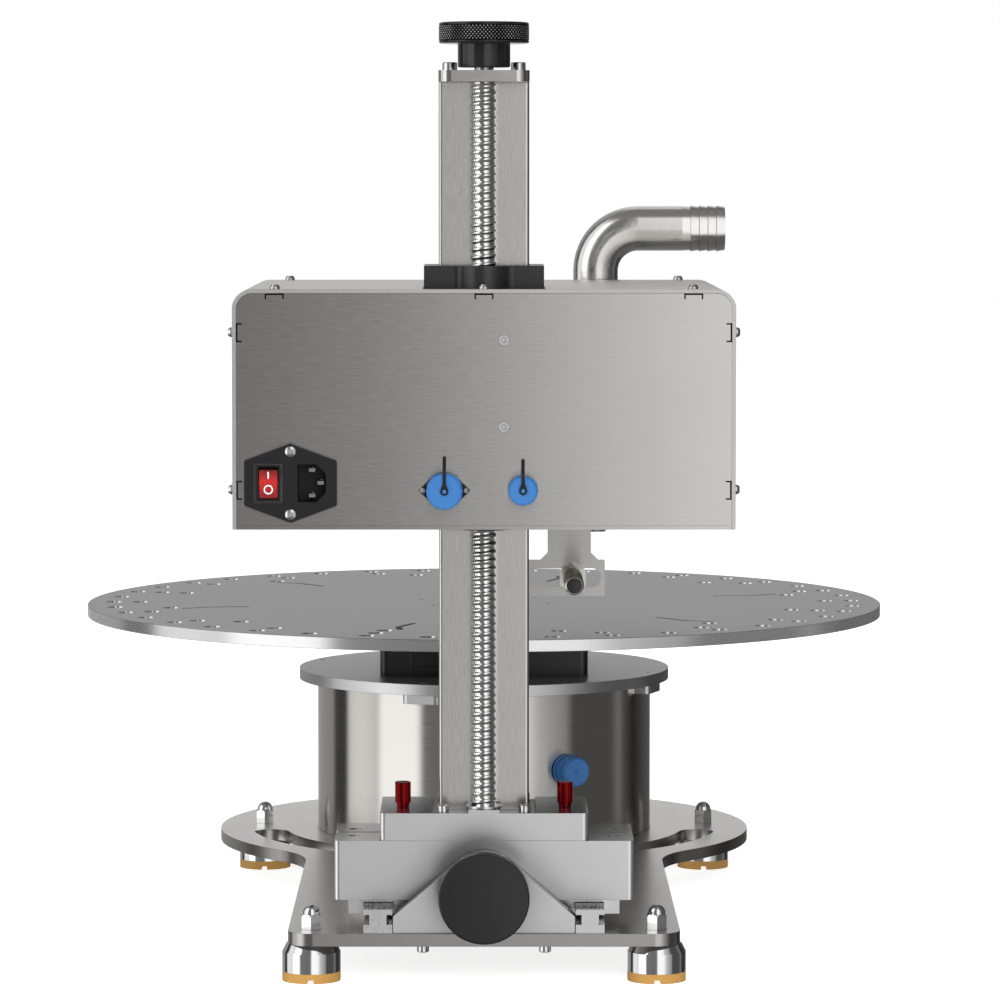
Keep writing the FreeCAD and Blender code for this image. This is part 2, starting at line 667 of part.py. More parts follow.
def upper_block():
    body = block(-UPPER_HALF_W, UPPER_HALF_W, CARRIAGE_NEAR_Y, UPPER_FAR_Y, CARRIAGE_TOP, UPPER_TOP)
    body = body.makeFillet(BLOCK_EDGE_R, upright_edges(body, lambda x, y: True))
    pocket_low = FOOT_PLATE_TOP - FOOT_PLATE_T
    pocket = block(-FOOT_PLATE_HALF_W, FOOT_PLATE_HALF_W, CARRIAGE_NEAR_Y + 1.5, UPPER_FAR_Y + 1,
                   pocket_low, UPPER_TOP)
    body = body.cut(pocket)
    seat = block(-9.8, 9.8, CARRIAGE_NEAR_Y, 9.5, pocket_low, UPPER_TOP + 2.0)
    body = body.fuse(seat).removeSplitter()
    holes = [rod(0, 0, UPPER_TOP - 7.0, 9.0, 20.0), rod(0, 0, CARRIAGE_TOP + 2.0, JOURNAL_R + 0.6, 20.0)]
    holes += [rod(x, y, CARRIAGE_TOP, 2.5, 20.0) for x, y in column_screw_places()]
    holes += [rod(x, y, CARRIAGE_TOP + 2.0, 3.0 + 0.1, 20.0) for x, y in clamp_places()]
    return body.cut(group(holes))


def column_foot():
    low = FOOT_PLATE_TOP - FOOT_PLATE_T
    body = block(-FOOT_PLATE_HALF_W + 0.1, FOOT_PLATE_HALF_W - 0.1, CARRIAGE_NEAR_Y + 1.6, UPPER_FAR_Y - 0.5,
                 low, FOOT_PLATE_TOP)
    body = body.cut(block(-10.0, 10.0, CARRIAGE_NEAR_Y, 9.7, low, FOOT_PLATE_TOP))
    return body.cut(group([rod(x, y, low, 2.5, 10.0) for x, y in column_screw_places()]))


def column_screws():
    """Cap screws with a washer each that hold the column's foot."""
    screws = []
    for x, y in column_screw_places():
        screws.append(socket_screw(x, y, FOOT_PLATE_TOP + 1.4, 3.6, 4.7, 2.45, 15.4))
        screws.append(ring(x, y, FOOT_PLATE_TOP, 3.95, 2.5, 1.4))
    return group(screws)


def column():
    width = COLUMN_HALF_W
    tube = block(-width, width, COLUMN_NEAR_Y, COLUMN_FAR_Y, FOOT_PLATE_TOP, COLUMN_TOP)
    tube = tube.makeFillet(2.0, upright_edges(tube, lambda x, y: True))
    inner = block(-width + COLUMN_WALL, width - COLUMN_WALL, COLUMN_NEAR_Y + COLUMN_WALL,
                  COLUMN_FAR_Y - COLUMN_WALL, FOOT_PLATE_TOP, COLUMN_TOP)
    return tube.cut(inner)


def cap_screw_places():
    return [(side * 21.4, y) for side in (-1, 1) for y in (20.0, 34.0)]


def column_cap():
    width = COLUMN_HALF_W
    plate = block(-width, width, -16.0, COLUMN_FAR_Y, COLUMN_TOP, COLUMN_TOP + CAP_T)
    plate = plate.makeFillet(8.0, upright_edges(plate, lambda x, y: y < 0))
    inner = COLUMN_WALL + 0.2
    plug = block(-width + inner, width - inner, COLUMN_NEAR_Y + inner, COLUMN_FAR_Y - inner,
                 COLUMN_TOP - 14.0, COLUMN_TOP)
    cap = join([plate, plug])
    cap = cap.cut(rod(0, 0, COLUMN_TOP, 9.0, CAP_T))
    return cap.cut(group([rod(x, y, COLUMN_TOP - 12.0, 2.5, 30.0) for x, y in cap_screw_places()]))


def cap_screws():
    top = COLUMN_TOP + CAP_T
    return group([socket_screw(x, y, top, 4.6, 5.5, 2.45, 16.0) for x, y in cap_screw_places()])


def lift_bearings():
    low = ring(0, 0, UPPER_TOP - 7.0, 9.0, JOURNAL_R + RUNNING, 9.0)
    flange = ring(0, 0, UPPER_TOP + 2.0, 11.6, SCREW_R + 0.5, 1.4)
    high = ring(0, 0, COLUMN_TOP, 9.0, JOURNAL_R + RUNNING, CAP_T)
    return group([low, flange, high])


def clamp_places():
    return [(side * 51.0, 16.0) for side in (-1, 1)]


def clamp_screw(x, y):
    """Thumb screw that locks the carriage: fluted head, neck and shank."""
    base = UPPER_TOP + 0.3
    head = rod(x, y, base + 2.6, 5.0, 13.2)
    flutes = []
    for k in range(12):
        fx, fy = polar(5.3, 30.0 * k, (x, y))
        flutes.append(rod(fx, fy, base + 2.6, 0.75, 13.2))
    head = head.cut(group(flutes))
    slot = block(x - 6.0, x + 6.0, y - 1.2, y + 1.2, base + 12.8, base + 16.0)
    slot.rotate(V(x, y, 0), Z_AXIS, 14.0)
    head = head.cut(slot)
    neck = rod(x, y, base, 4.0, 2.7)
    shank = rod(x, y, base - 13.0, 3.0, 13.1)
    return join([head, neck, shank])


def cross_screw():
    far = FAR_BEARING_Y - 1.0
    journal = rod(0, CROSS_KNOB_Y + 6.0, CROSS_Z, JOURNAL_R, FAR_BEARING_Y + 9.0 - CROSS_KNOB_Y - 6.0, Y_AXIS)
    thread = rod(0, CARRIAGE_NEAR_Y - 0.4, CROSS_Z, SCREW_R, far - CARRIAGE_NEAR_Y + 0.4, Y_AXIS)
    return join([journal, thread])


def knob(top_r, disc_t, hub_r, hub_t, blind):
    """Hand knob along +Z: hub first, then a disc with chamfered rims; its bore stops below the face."""
    disc = rod(0, 0, hub_t, top_r, disc_t)
    disc = disc.makeChamfer(1.6, [e for e in disc.Edges if e.BoundBox.ZLength < 0.01])
    body = join([rod(0, 0, 0, hub_r, hub_t + 0.5), disc])
    return body.cut(rod(0, 0, 0, JOURNAL_R, hub_t + disc_t - blind))


def cross_knob():
    hub_t = BRACKET_NEAR_Y - 1.0 - CROSS_KNOB_Y - KNOB_T
    body = along(knob(KNOB_R, KNOB_T, KNOB_HUB_R, hub_t, 6.0), V(0, -1, 0))
    return moved(body, 0, BRACKET_NEAR_Y - 1.0, CROSS_Z)


def lift_screw():
    journal = rod(0, 0, UPPER_TOP - 12.0, JOURNAL_R, LIFT_KNOB_TOP - 6.0 - UPPER_TOP + 12.0)
    thread = rod(0, 0, UPPER_TOP + 2.3, SCREW_R, COLUMN_TOP - 0.3 - UPPER_TOP - 2.3)
    return join([journal, thread])


def lift_knob():
    low = COLUMN_TOP + CAP_T + 1.8
    return moved(knob(KNOB_R, LIFT_KNOB_T, KNOB_HUB_R, LIFT_KNOB_TOP - LIFT_KNOB_T - low, 6.0), 0, 0, low)


# ---------------------------------------------------------------- head

def slider():
    """Black sliding block round the column, with a round boss in front for the lifting nut."""
    z = SLIDER_LOW
    reach = SLIDER_BOSS_R + SLIDER_FILLET_R
    fillet_y = SLIDER_FLAT_Y - SLIDER_FILLET_R
    fillet_x = math.sqrt(reach ** 2 - fillet_y ** 2)
    meet = math.degrees(math.atan2(fillet_y, fillet_x))
    w = SLIDER_HALF_W
    edges = [line((-w, SLIDER_FAR_Y), (-w, SLIDER_FLAT_Y), z),
             line((-w, SLIDER_FLAT_Y), (-fillet_x, SLIDER_FLAT_Y), z),
             arc((-fillet_x, fillet_y), SLIDER_FILLET_R, 90.0, -meet, z),
             arc((0, 0), SLIDER_BOSS_R, -180.0 - meet, meet, z),
             arc((fillet_x, fillet_y), SLIDER_FILLET_R, 180.0 + meet, 90.0, z),
             line((fillet_x, SLIDER_FLAT_Y), (w, SLIDER_FLAT_Y), z),
             line((w, SLIDER_FLAT_Y), (w, SLIDER_FAR_Y), z),
             line((w, SLIDER_FAR_Y), (-w, SLIDER_FAR_Y), z)]
    body = join([chain(edges, SLIDER_LOW, SLIDER_HIGH)] + back_posts())
    gap = 0.4
    channel = block(-COLUMN_HALF_W - gap, COLUMN_HALF_W + gap, COLUMN_NEAR_Y - gap, COLUMN_FAR_Y + gap,
                    SLIDER_LOW, SLIDER_HIGH)
    bore = rod(0, 0, SLIDER_LOW, SCREW_R + 0.8, SLIDER_HIGH - SLIDER_LOW)
    nut_seat = rod(0, 0, SLIDER_LOW, 11.0, 40.0)
    return body.cut(group([channel, bore, nut_seat]))


def lift_nut():
    return ring(0, 0, SLIDER_LOW + 0.5, 11.0, SCREW_R + RUNNING, 39.0)


def head_window(z0, z1):
    """Opening for the slider through the housing's top and floor."""
    return block(-SLIDER_HALF_W - 0.6, SLIDER_HALF_W + 0.6, -SLIDER_BOSS_R - 1.0, SLIDER_FAR_Y + 0.6, z0, z1)


def relief_notches(y0, y1):
    """Narrow bent reliefs at the end plate's rim beside each cover screw: a bar with a leg at each end."""
    half = NOTCH_SPAN / 2.0
    top = HEAD_HIGH - SHEET - 0.1
    side_x = HEAD_HALF_W - SHEET - 0.1
    boxes = []
    for x in COVER_SCREW_XS:
        boxes.append(block(x - half, x + half, y0, y1, top - NOTCH_W, top))
        boxes.append(block(x - half, x - half + NOTCH_W, y0, y1, top - NOTCH_LEG, top))
        boxes.append(block(x + half - NOTCH_W, x + half, y0, y1, top - NOTCH_LEG, top))
    for side in (-1, 1):
        outer = side * side_x
        bar = side * (side_x - NOTCH_W)
        leg = side * (side_x - NOTCH_LEG)
        for z in COVER_SCREW_ZS:
            boxes.append(block(min(bar, outer), max(bar, outer), y0, y1, z - half, z + half))
            boxes.append(block(min(leg, outer), max(leg, outer), y0, y1, z - half, z - half + NOTCH_W))
            boxes.append(block(min(leg, outer), max(leg, outer), y0, y1, z + half - NOTCH_W, z + half))
    return boxes


def housing_profile(inset, y0, y1):
    """The housing's section: square at the bottom, rounded at the two top corners."""
    x = HEAD_HALF_W - inset
    body = block(-x, x, y0, y1, HEAD_LOW, HEAD_HIGH - inset)
    corners = [e for e in body.Edges if e.BoundBox.YLength > 1.0 and e.BoundBox.ZMin > HEAD_LOW + 10]
    return body.makeFillet(HEAD_CORNER_R - inset, corners)


def cover_screw_places():
    """Points and outward directions of the screws that hold the cover."""
    places = []
    for y in (HEAD_NEAR_Y + 8.0, HEAD_FAR_Y - 8.0):
        places += [(x, y, HEAD_HIGH, Z_AXIS) for x in COVER_SCREW_XS]
        for side in (-1, 1):
            places += [(side * HEAD_HALF_W, y, z, V(side, 0, 0)) for z in COVER_SCREW_ZS]
    return places


def housing_cover():
    skin = housing_profile(0.0, HEAD_NEAR_Y, HEAD_FAR_Y)
    hollow = housing_profile(SHEET, HEAD_NEAR_Y, HEAD_FAR_Y)
    hollow = hollow.fuse(block(-HEAD_HALF_W + SHEET, HEAD_HALF_W - SHEET, HEAD_NEAR_Y, HEAD_FAR_Y,
                               HEAD_LOW, HEAD_LOW + 20.0))
    cover = skin.cut(hollow)
    cuts = [head_window(HEAD_HIGH - SHEET, HEAD_HIGH)]
    for x, y, z, axis in cover_screw_places():
        cuts.append(rod(x - axis.x * 4, y, z - axis.z * 4, 1.7, 8.0, axis))
    return cover.cut(group(cuts))


def end_plate(near):
    """Back or front plate, with a lip that the cover's screws go into."""
    inset = SHEET + 0.1
    y0 = HEAD_NEAR_Y if near else HEAD_FAR_Y - SHEET
    plate = housing_profile(inset, y0, y0 + SHEET)
    plate = plate.cut(block(-HEAD_HALF_W, HEAD_HALF_W, y0, y0 + SHEET, HEAD_LOW, HEAD_LOW + inset))
    lip_y0 = y0 + SHEET if near else y0 - 12.0
    lip = housing_profile(inset, lip_y0, lip_y0 + 12.0).cut(housing_profile(inset + 2.0, lip_y0, lip_y0 + 12.0))
    lip = lip.cut(block(-200, 200, lip_y0, lip_y0 + 12, HEAD_LOW, HEAD_LOW + 5.0))
    lip = lip.cut(head_window(HEAD_HIGH - 20, HEAD_HIGH))
    plate = plate.fuse(lip).removeSplitter()
    notch_y0 = y0 if near else y0 + SHEET - NOTCH_DEPTH
    cuts = relief_notches(notch_y0, notch_y0 + NOTCH_DEPTH)
    for x, y, z, axis in cover_screw_places():
        cuts.append(rod(x - axis.x * 10, y, z - axis.z * 10, 1.55, 12.0, axis))
    return plate.cut(group(cuts))


def back_plate():
    plate = end_plate(True)
    y = HEAD_NEAR_Y
    cuts = [block(INLET_X - 23.6, INLET_X + 23.6, y, y + SHEET, INLET_Z - 13.6, INLET_Z + 13.6)]
    cuts += [rod(x, y, z, 8.1, SHEET, Y_AXIS) for x, z, r in (LEFT_SOCKET, RIGHT_SOCKET)]
    cuts += [rod(INLET_X, y, z, 1.6, SHEET, Y_AXIS) for z in inlet_screw_heights()]
    cuts += [rod(LEFT_SOCKET[0] + side * SOCKET_SCREW_X, y, LEFT_SOCKET[1], 1.2, SHEET, Y_AXIS)
             for side in (-1, 1)]
    for x, z in back_screw_places():
        cuts.append(rod(x, y, z, 1.55, SHEET, Y_AXIS))
        cuts.append(rod(x, y, z, 3.45, 2.0, Y_AXIS))
    return plate.cut(group(cuts))


def back_screw_places():
    return [(12.1, 400.8), (12.1, 347.1)]


def back_posts():
    """Posts of the slider that the back plate is screwed to."""
    y = HEAD_NEAR_Y + SHEET
    shapes = []
    for x, z in back_screw_places():
        post = block(x - 6.0, x + 6.0, y, SLIDER_FLAT_Y, z - 6.0, z + 6.0)
        shapes.append(post.cut(rod(x, y, z, 1.5, 8.0, Y_AXIS)))
    return shapes


def front_plate():
    plate = end_plate(False)
    y = HEAD_FAR_Y - SHEET
    cuts = [rod(PUMP_X + GEAR_SPREAD, y, PUMP_Z, 9.0, SHEET, Y_AXIS)]
    cuts.append(block(-118.0, -22.0, y, y + SHEET, 345.0, 405.0))
    cuts.append(rod(-70.0, y, 315.0, 8.2, SHEET, Y_AXIS))
    cuts += [rod(x, y, z, 2.6, SHEET, Y_AXIS) for x, z in pump_screw_places()]
    return plate.cut(group(cuts))


def floor_plate():
    inset = SHEET + 0.1
    plate = block(-HEAD_HALF_W + inset, HEAD_HALF_W - inset, HEAD_NEAR_Y, HEAD_FAR_Y,
                  HEAD_LOW, HEAD_LOW + SHEET)
    cuts = [head_window(HEAD_LOW, HEAD_LOW + SHEET)]
    cuts += [rod(x, y, HEAD_LOW, 2.1, SHEET) for x, y in sensor_screw_places()]
    return plate.cut(group(cuts))


def cover_screws():
    """Button head screws of the cover."""
    screws = []
    for x, y, z, axis in cover_screw_places():
        head = join([rod(0, 0, 0, 3.2, 1.2), cone(0, 0, 1.2, 3.2, 2.1, 1.6), rod(0, 0, -6.0, 1.5, 6.2)])
        head = head.cut(hexagon(0, 0, 1.3, 2.2, 2.0))
        screws.append(moved(along(head, axis), x, y, z))
    return group(screws)


def back_screws():
    y = HEAD_NEAR_Y + 0.1
    screws = [flush_screw(x, y, z, 3.35, 1.8, 1.5, 9.0, V(0, -1, 0)) for x, z in back_screw_places()]
    face_y = HEAD_NEAR_Y - 2.5
    screws += [flush_screw(INLET_X, face_y, z, 3.35, 1.8, 1.5, 8.0, V(0, -1, 0), 1.0)
               for z in inlet_screw_heights()]
    return group(screws)


def inlet_screw_heights():
    return [INLET_Z + side * INLET_SCREW_Z for side in (-1, 1)]


def power_inlet():
    """Panel inlet with a rocker bay on the left and a three-pin socket on the right."""
    y = HEAD_NEAR_Y
    outline = [(-28.6, -13.8), (0.0, -24.4), (28.6, -13.8), (28.6, 13.8), (0.0, 24.4), (-28.6, 13.8)]
    flange = wall([(INLET_X + a, INLET_Z + b) for a, b in outline], y - 2.5, y)
    upright = [e for e in flange.Edges if e.BoundBox.YLength > 2.0]
    flange = flange.makeFillet(1.2, upright)
    body = block(INLET_X - 23.5, INLET_X + 23.5, y, y + 26.0, INLET_Z - 13.5, INLET_Z + 13.5)
    shape = join([flange, body])
    px = INLET_X + PLUG_X
    bay = [(-8.7, -11.7), (2.9, -11.7), (8.7, -5.9), (8.7, 5.9), (2.9, 11.7), (-8.7, 11.7)]
    shape = shape.cut(wall([(px + a, INLET_Z + b) for a, b in bay], y - 2.5, y + 15.0))
    rx = INLET_X + ROCKER_X
    shape = shape.cut(block(rx - ROCKER_HALF_W - 0.5, rx + ROCKER_HALF_W + 0.5, y - 2.5, y + 9.0,
                            INLET_Z - ROCKER_HALF_H - 1.2, INLET_Z + ROCKER_HALF_H + 1.2))
    shape = shape.cut(rod(rx - 7.9, y + 1.0, INLET_Z, ROCKER_PIN_R + RUNNING, 15.8, X_AXIS))
    shape = shape.cut(group([rod(px + a, y + 15.0, INLET_Z + b, 1.5, 6.0, Y_AXIS) for a, b in pin_places()]))
    rim = [rod(INLET_X, y - 2.5, z, 3.45, 1.9, Y_AXIS) for z in inlet_screw_heights()]
    rim += [rod(INLET_X, y - 2.5, z, 1.55, 2.5, Y_AXIS) for z in inlet_screw_heights()]
    return shape.cut(group(rim))


def pin_places():
    return [(0.0, 7.9), (5.4, 0.0), (0.0, -7.9)]


def inlet_pins():
    px = INLET_X + PLUG_X
    y = HEAD_NEAR_Y
    pins = []
    for a, b in pin_places():
        pin = block(px + a - 1.9, px + a + 1.9, y + 2.0, y + 15.0, INLET_Z + b - 1.15, INLET_Z + b + 1.15)
        pins.append(pin.fuse(rod(px + a, y + 15.0, INLET_Z + b, 1.5, 6.0, Y_AXIS)))
    return group(pins)


def rocker_switch():
    """Rocker of the mains switch at rest in its off position, lower half pressed in."""
    rx = INLET_X + ROCKER_X
    y = HEAD_NEAR_Y + 1.0
    high = ROCKER_HALF_H
    outline = [(-high, -4.6), (0.0, -3.4), (high, -4.6), (high, 1.0), (4.0, 4.0), (-4.0, 4.0), (-high, 1.0)]
    wire = Part.makePolygon([V(rx - ROCKER_HALF_W, y + b, INLET_Z + a) for a, b in outline + outline[:1]])
    body = Part.Face(wire).extrude(V(2.0 * ROCKER_HALF_W, 0, 0))
    body = body.fuse(rod(rx - 7.6, y, INLET_Z, ROCKER_PIN_R, 15.2, X_AXIS))
    body.rotate(V(rx, y, INLET_Z), X_AXIS, 7.0)
    return body


def sockets():
    """Bodies of the two round connectors, with the rhombic flange of the left one."""
    y = HEAD_NEAR_Y
    x, z, r = LEFT_SOCKET
    tips = [(-15.8, 0.0), (-7.9, -7.9), (7.9, -7.9), (15.8, 0.0), (7.9, 7.9), (-7.9, 7.9)]
    flange = join([wall([(x + a, z + b) for a, b in tips], y - 1.6, y), rod(x, y - 1.6, z, 11.2, 1.6, Y_AXIS)])
    left = join([flange, rod(x, y - 6.0, z, 8.0, 22.0, Y_AXIS)])
    left = left.cut(rod(x, y - 6.0, z, 5.5, 5.0, Y_AXIS))
    left = left.cut(group([rod(x + side * SOCKET_SCREW_X, y - 1.6, z, 1.2, 1.6, Y_AXIS) for side in (-1, 1)]))
    x, z, r = RIGHT_SOCKET
    right = join([rod(x, y - 1.2, z, 8.6, 1.2, Y_AXIS), rod(x, y - 6.0, z, 6.6, 20.0, Y_AXIS)])
    right = right.cut(rod(x, y - 6.0, z, 4.5, 5.0, Y_AXIS))
    return group([left, right])


def socket_screws():
    x, z, r = LEFT_SOCKET
    y = HEAD_NEAR_Y - 1.6
    return group([socket_screw(x + side * SOCKET_SCREW_X, y, z, 1.6, 1.4, 1.15, 5.0, V(0, -1, 0))
                  for side in (-1, 1)])


def socket_cap(place, bore):
    x, z, r = place
    cap = along(grip_cap(r, 9.0, bore, 16, 1.2, 1.6), V(0, -1, 0))
    return moved(cap, x, HEAD_NEAR_Y - 2.0, z)


def cap_strap(place, rise):
    """Rubber strap from a ring on the cap's stud up to a hole in the back plate."""
    x, z, r = place
    face = HEAD_NEAR_Y - 11.3
    loop = ring(x, face, z, 2.5, 1.5, 1.0, V(0, -1, 0))
    outline = [(face, 3.6), (face - 1.0, 3.6), (face - 1.0, r + 1.5), (HEAD_NEAR_Y - 2.0, z_top(rise)),
               (HEAD_NEAR_Y, z_top(rise)), (HEAD_NEAR_Y, rise), (face, r + 0.8)]
    wire = Part.makePolygon([V(x - 1.0, a, z + b) for a, b in outline + outline[:1]])
    band = Part.Face(wire).extrude(V(2.0, 0, 0))
    fork = wall([(x + a, z + b) for a, b in ((-2.3, 1.0), (2.3, 1.0), (1.0, 4.6), (-1.0, 4.6))], face - 1.0, face)
    eye = wall([(x + a, z + b) for a, b in ((-1.3, 0.9), (1.3, 0.9), (0.0, 3.6))], face - 1.0, face)
    return join([loop, fork.cut(eye).cut(rod(x, face - 1.0, z, 1.5, 1.0, Y_AXIS)), band])


def z_top(rise):
    return rise + 2.4


def cap_straps():
    return group([cap_strap(LEFT_SOCKET, 18.4), cap_strap(RIGHT_SOCKET, 16.4)])


# ---------------------------------------------------------------- pump and pipe

def pump_screw_places():
    return [(PUMP_X + a * 30.0, PUMP_Z + b * 30.0) for a in (-1, 1) for b in (-1, 1)]


def rounded_block(x, z, half, y0, y1, radius):
    body = block(x - half, x + half, y0, y1, z - half, z + half)
    return body.makeFillet(radius, [e for e in body.Edges if e.BoundBox.YLength > 1.0])


def gear_axes():
    return (PUMP_X + GEAR_SPREAD, PUMP_X - GEAR_SPREAD)


def pump_body():
    body = rounded_block(PUMP_X, PUMP_Z, 38.0, HEAD_FAR_Y, PUMP_FAR_Y, 8.0)
    collar = rod(PUMP_X, PUMP_Y, PUMP_Z + 38.0, 12.0, 8.0)
    body = body.fuse(collar)
    spout = rod(PUMP_X, PUMP_Y, PUMP_Z - 46.0, 11.0, 8.0)
    body = body.fuse(spout)
    cuts = []
    for x in gear_axes():
        cuts.append(rod(x, GEAR_NEAR_Y - 0.2, PUMP_Z, GEAR_TIP_R + 0.3, PUMP_FAR_Y - GEAR_NEAR_Y + 0.2, Y_AXIS))
        cuts.append(rod(x, GEAR_NEAR_Y - 8.0, PUMP_Z, 5.0 + RUNNING, 10.0, Y_AXIS))
    cuts.append(rod(gear_axes()[0], HEAD_FAR_Y, PUMP_Z, 5.0 + RUNNING, 20.0, Y_AXIS))
    cuts.append(rod(PUMP_X, PUMP_Y, PUMP_Z, 9.0, 60.0))
    cuts.append(rod(PUMP_X, PUMP_Y, PUMP_Z - 60.0, 8.0, 60.0))
    cuts += [rod(x, HEAD_FAR_Y, z, 2.55, PUMP_FAR_Y - HEAD_FAR_Y, Y_AXIS) for x, z in pump_screw_places()]
    return body.cut(group(cuts))


def pump_cover():
    cover = rounded_block(PUMP_X, PUMP_Z, 38.0, PUMP_FAR_Y, PUMP_FAR_Y + PUMP_COVER_T, 8.0)
    cuts = [rod(x, PUMP_FAR_Y, PUMP_Z, 5.0 + RUNNING, 7.0, Y_AXIS) for x in gear_axes()]
    cuts += [rod(x, PUMP_FAR_Y, z, 2.55, PUMP_COVER_T, Y_AXIS) for x, z in pump_screw_places()]
    return cover.cut(group(cuts))


def pump_screws():
    far = PUMP_FAR_Y + PUMP_COVER_T
    return group([socket_screw(x, far, z, 4.2, 5.0, 2.5, 44.0, Y_AXIS) for x, z in pump_screw_places()])


def pump_gear(x, turn, shaft_near_y):
    gear = toothed((0.0, 0.0), GEAR_ROOT_R, GEAR_TIP_R, GEAR_TEETH, 0.0, GEAR_FAR_Y - GEAR_NEAR_Y, 2.9, turn)
    shaft = rod(0, 0, shaft_near_y - GEAR_NEAR_Y, 5.0, PUMP_FAR_Y + 6.0 - shaft_near_y)
    return moved(along(join([gear, shaft]), Y_AXIS), x, GEAR_NEAR_Y, PUMP_Z)


def drive_gear():
    return pump_gear(gear_axes()[0], 0.0, 205.0)


def idler_gear():
    return pump_gear(gear_axes()[1], 15.0, GEAR_NEAR_Y - 7.0)


def pump_motor():
    x = gear_axes()[0]
    can = rod(x, 118.0, PUMP_Z, 36.0, 82.0, Y_AXIS)
    nose = rod(x, 200.0, PUMP_Z, 20.0, HEAD_FAR_Y - SHEET - 200.0, Y_AXIS)
    return join([can, nose]).cut(rod(x, 190.0, PUMP_Z, 5.0 + RUNNING, 40.0, Y_AXIS))


def elbow_path():
    """Centre line of the bent pipe: up, a quarter turn, then level to the hose end."""
    corner = PIPE_Z - PIPE_BEND_R
    up = Part.makeLine(V(PUMP_X, PUMP_Y, corner - 36.0), V(PUMP_X, PUMP_Y, corner))
    middle = math.sqrt(0.5) * PIPE_BEND_R
    bend = Part.Arc(V(PUMP_X, PUMP_Y, corner), V(PUMP_X + PIPE_BEND_R - middle, PUMP_Y, corner + middle),
                    V(PUMP_X + PIPE_BEND_R, PUMP_Y, PIPE_Z)).toShape()
    level = Part.makeLine(V(PUMP_X + PIPE_BEND_R, PUMP_Y, PIPE_Z), V(PIPE_STRAIGHT_X, PUMP_Y, PIPE_Z))
    return up, bend, level


def swept(radius):
    """The pipe's solid at one radius, made of two cylinders and a quarter of a torus."""
    corner = PIPE_Z - PIPE_BEND_R
    low = corner - 36.0
    up = rod(PUMP_X, PUMP_Y, low, radius, 36.0)
    circle = Part.Wire(Part.makeCircle(radius, V(PUMP_X, PUMP_Y, corner), Z_AXIS))
    bend = Part.Face(circle).revolve(V(PUMP_X + PIPE_BEND_R, PUMP_Y, corner), Y_AXIS, 90.0)
    level = rod(PUMP_X + PIPE_BEND_R, PUMP_Y, PIPE_Z, radius, PIPE_STRAIGHT_X - PUMP_X - PIPE_BEND_R, X_AXIS)
    return join([up, bend, level])


def inlet_elbow():
    """Bent inlet pipe with a hose barb at its end and a swivel nut at its foot."""
    outer = swept(PIPE_R)
    pitch = (PIPE_END_X - PIPE_STRAIGHT_X) / BARBS
    barbs = [cone(PIPE_STRAIGHT_X + k * pitch, PUMP_Y, PIPE_Z, BARB_CREST_R if k else PIPE_R, BARB_ROOT_R,
                  pitch, X_AXIS) for k in range(BARBS)]
    nut_low = PUMP_Z + 38.0 + 0.3
    nut = hexagon(PUMP_X, PUMP_Y, nut_low, 36.0, 24.0)
    nut = nut.common(cone(PUMP_X, PUMP_Y, nut_low, 24.0, 18.0, 26.0))
    outer = join([outer, nut] + barbs)
    inner = swept(PIPE_BORE_R)
    outer = outer.cut(inner)
    outer = outer.cut(rod(PIPE_STRAIGHT_X, PUMP_Y, PIPE_Z, PIPE_BORE_R, 40.0, X_AXIS))
    return outer.cut(rod(PUMP_X, PUMP_Y, nut_low, 12.0 + RUNNING, 24.0))


def outlet_nozzle():
    """Dosing nozzle under the pump: nut, tube and a tapered tip."""
    top = PUMP_Z - 38.0
    nut = hexagon(PUMP_X, PUMP_Y, top - 12.0, 32.0, 12.0)
    tube = rod(PUMP_X, PUMP_Y, top - 30.0, 10.0, 19.0)
    tip = cone(PUMP_X, PUMP_Y, 262.0, 7.0, 10.0, top - 30.0 - 262.0)
    outer = join([nut, tube, tip])
    outer = outer.cut(rod(PUMP_X, PUMP_Y, top - 8.0, 11.0, 8.0))
    return outer.cut(rod(PUMP_X, PUMP_Y, 250.0, 5.0, 60.0))


# ---------------------------------------------------------------- controls, electrics and sensor

def control_panel():
    far = HEAD_FAR_Y
    frame = block(-125.0, -15.0, far, far + 4.0, 338.0, 412.0)
    frame = frame.makeFillet(4.0, [e for e in frame.Edges if abs(e.BoundBox.YLength - 4.0) < 0.1])
    back = block(-117.8, -22.2, far - 22.0, far, 345.2, 404.8)
    screen = block(-120.0, -20.0, far + 2.8, far + 5.0, 344.0, 406.0)
    return join([frame, back]).cut(screen)


def display_glass():
    far = HEAD_FAR_Y
    return block(-119.9, -20.1, far + 2.8, far + 4.2, 344.1, 405.9)


def button_bezel():
    x, z = -70.0, 315.0
    y = HEAD_FAR_Y
    outer = join([rod(x, y, z, 11.0, 2.5, Y_AXIS), rod(x, y - 20.0, z, 8.0, 20.0, Y_AXIS)])
    return outer.cut(rod(x, y - 8.0, z, 6.8, 12.0, Y_AXIS))


def start_button():
    x, z = -70.0, 315.0
    y = HEAD_FAR_Y
    body = rod(x, y - 3.5, z, 6.5, 8.0, Y_AXIS)
    return body.makeChamfer(0.8, [e for e in body.Edges if abs(e.BoundBox.YMin - y - 4.5) < 0.01
                                  and e.BoundBox.YLength < 0.01])


def power_supply():
    low = HEAD_LOW + SHEET
    return block(-146.0, -56.0, 60.0, 190.0, low, low + 38.0)


def control_board():
    low = HEAD_LOW + SHEET + 46.0
    board = block(-146.0, -56.0, 60.0, 160.0, low, low + 1.6)
    chips = [block(-120, -100, 80, 100, low, low + 6), block(-90, -70, 110, 140, low, low + 12)]
    posts = [rod(x, y, low - 8.0, 3.0, 8.0) for x in (-140.0, -62.0) for y in (66.0, 154.0)]
    return join([board] + chips + posts)


def sensor_screw_places():
    return [(SENSOR_X - 8.0 + 14.0 * k, SENSOR_PLATE_Y + 10.0) for k in range(2)]


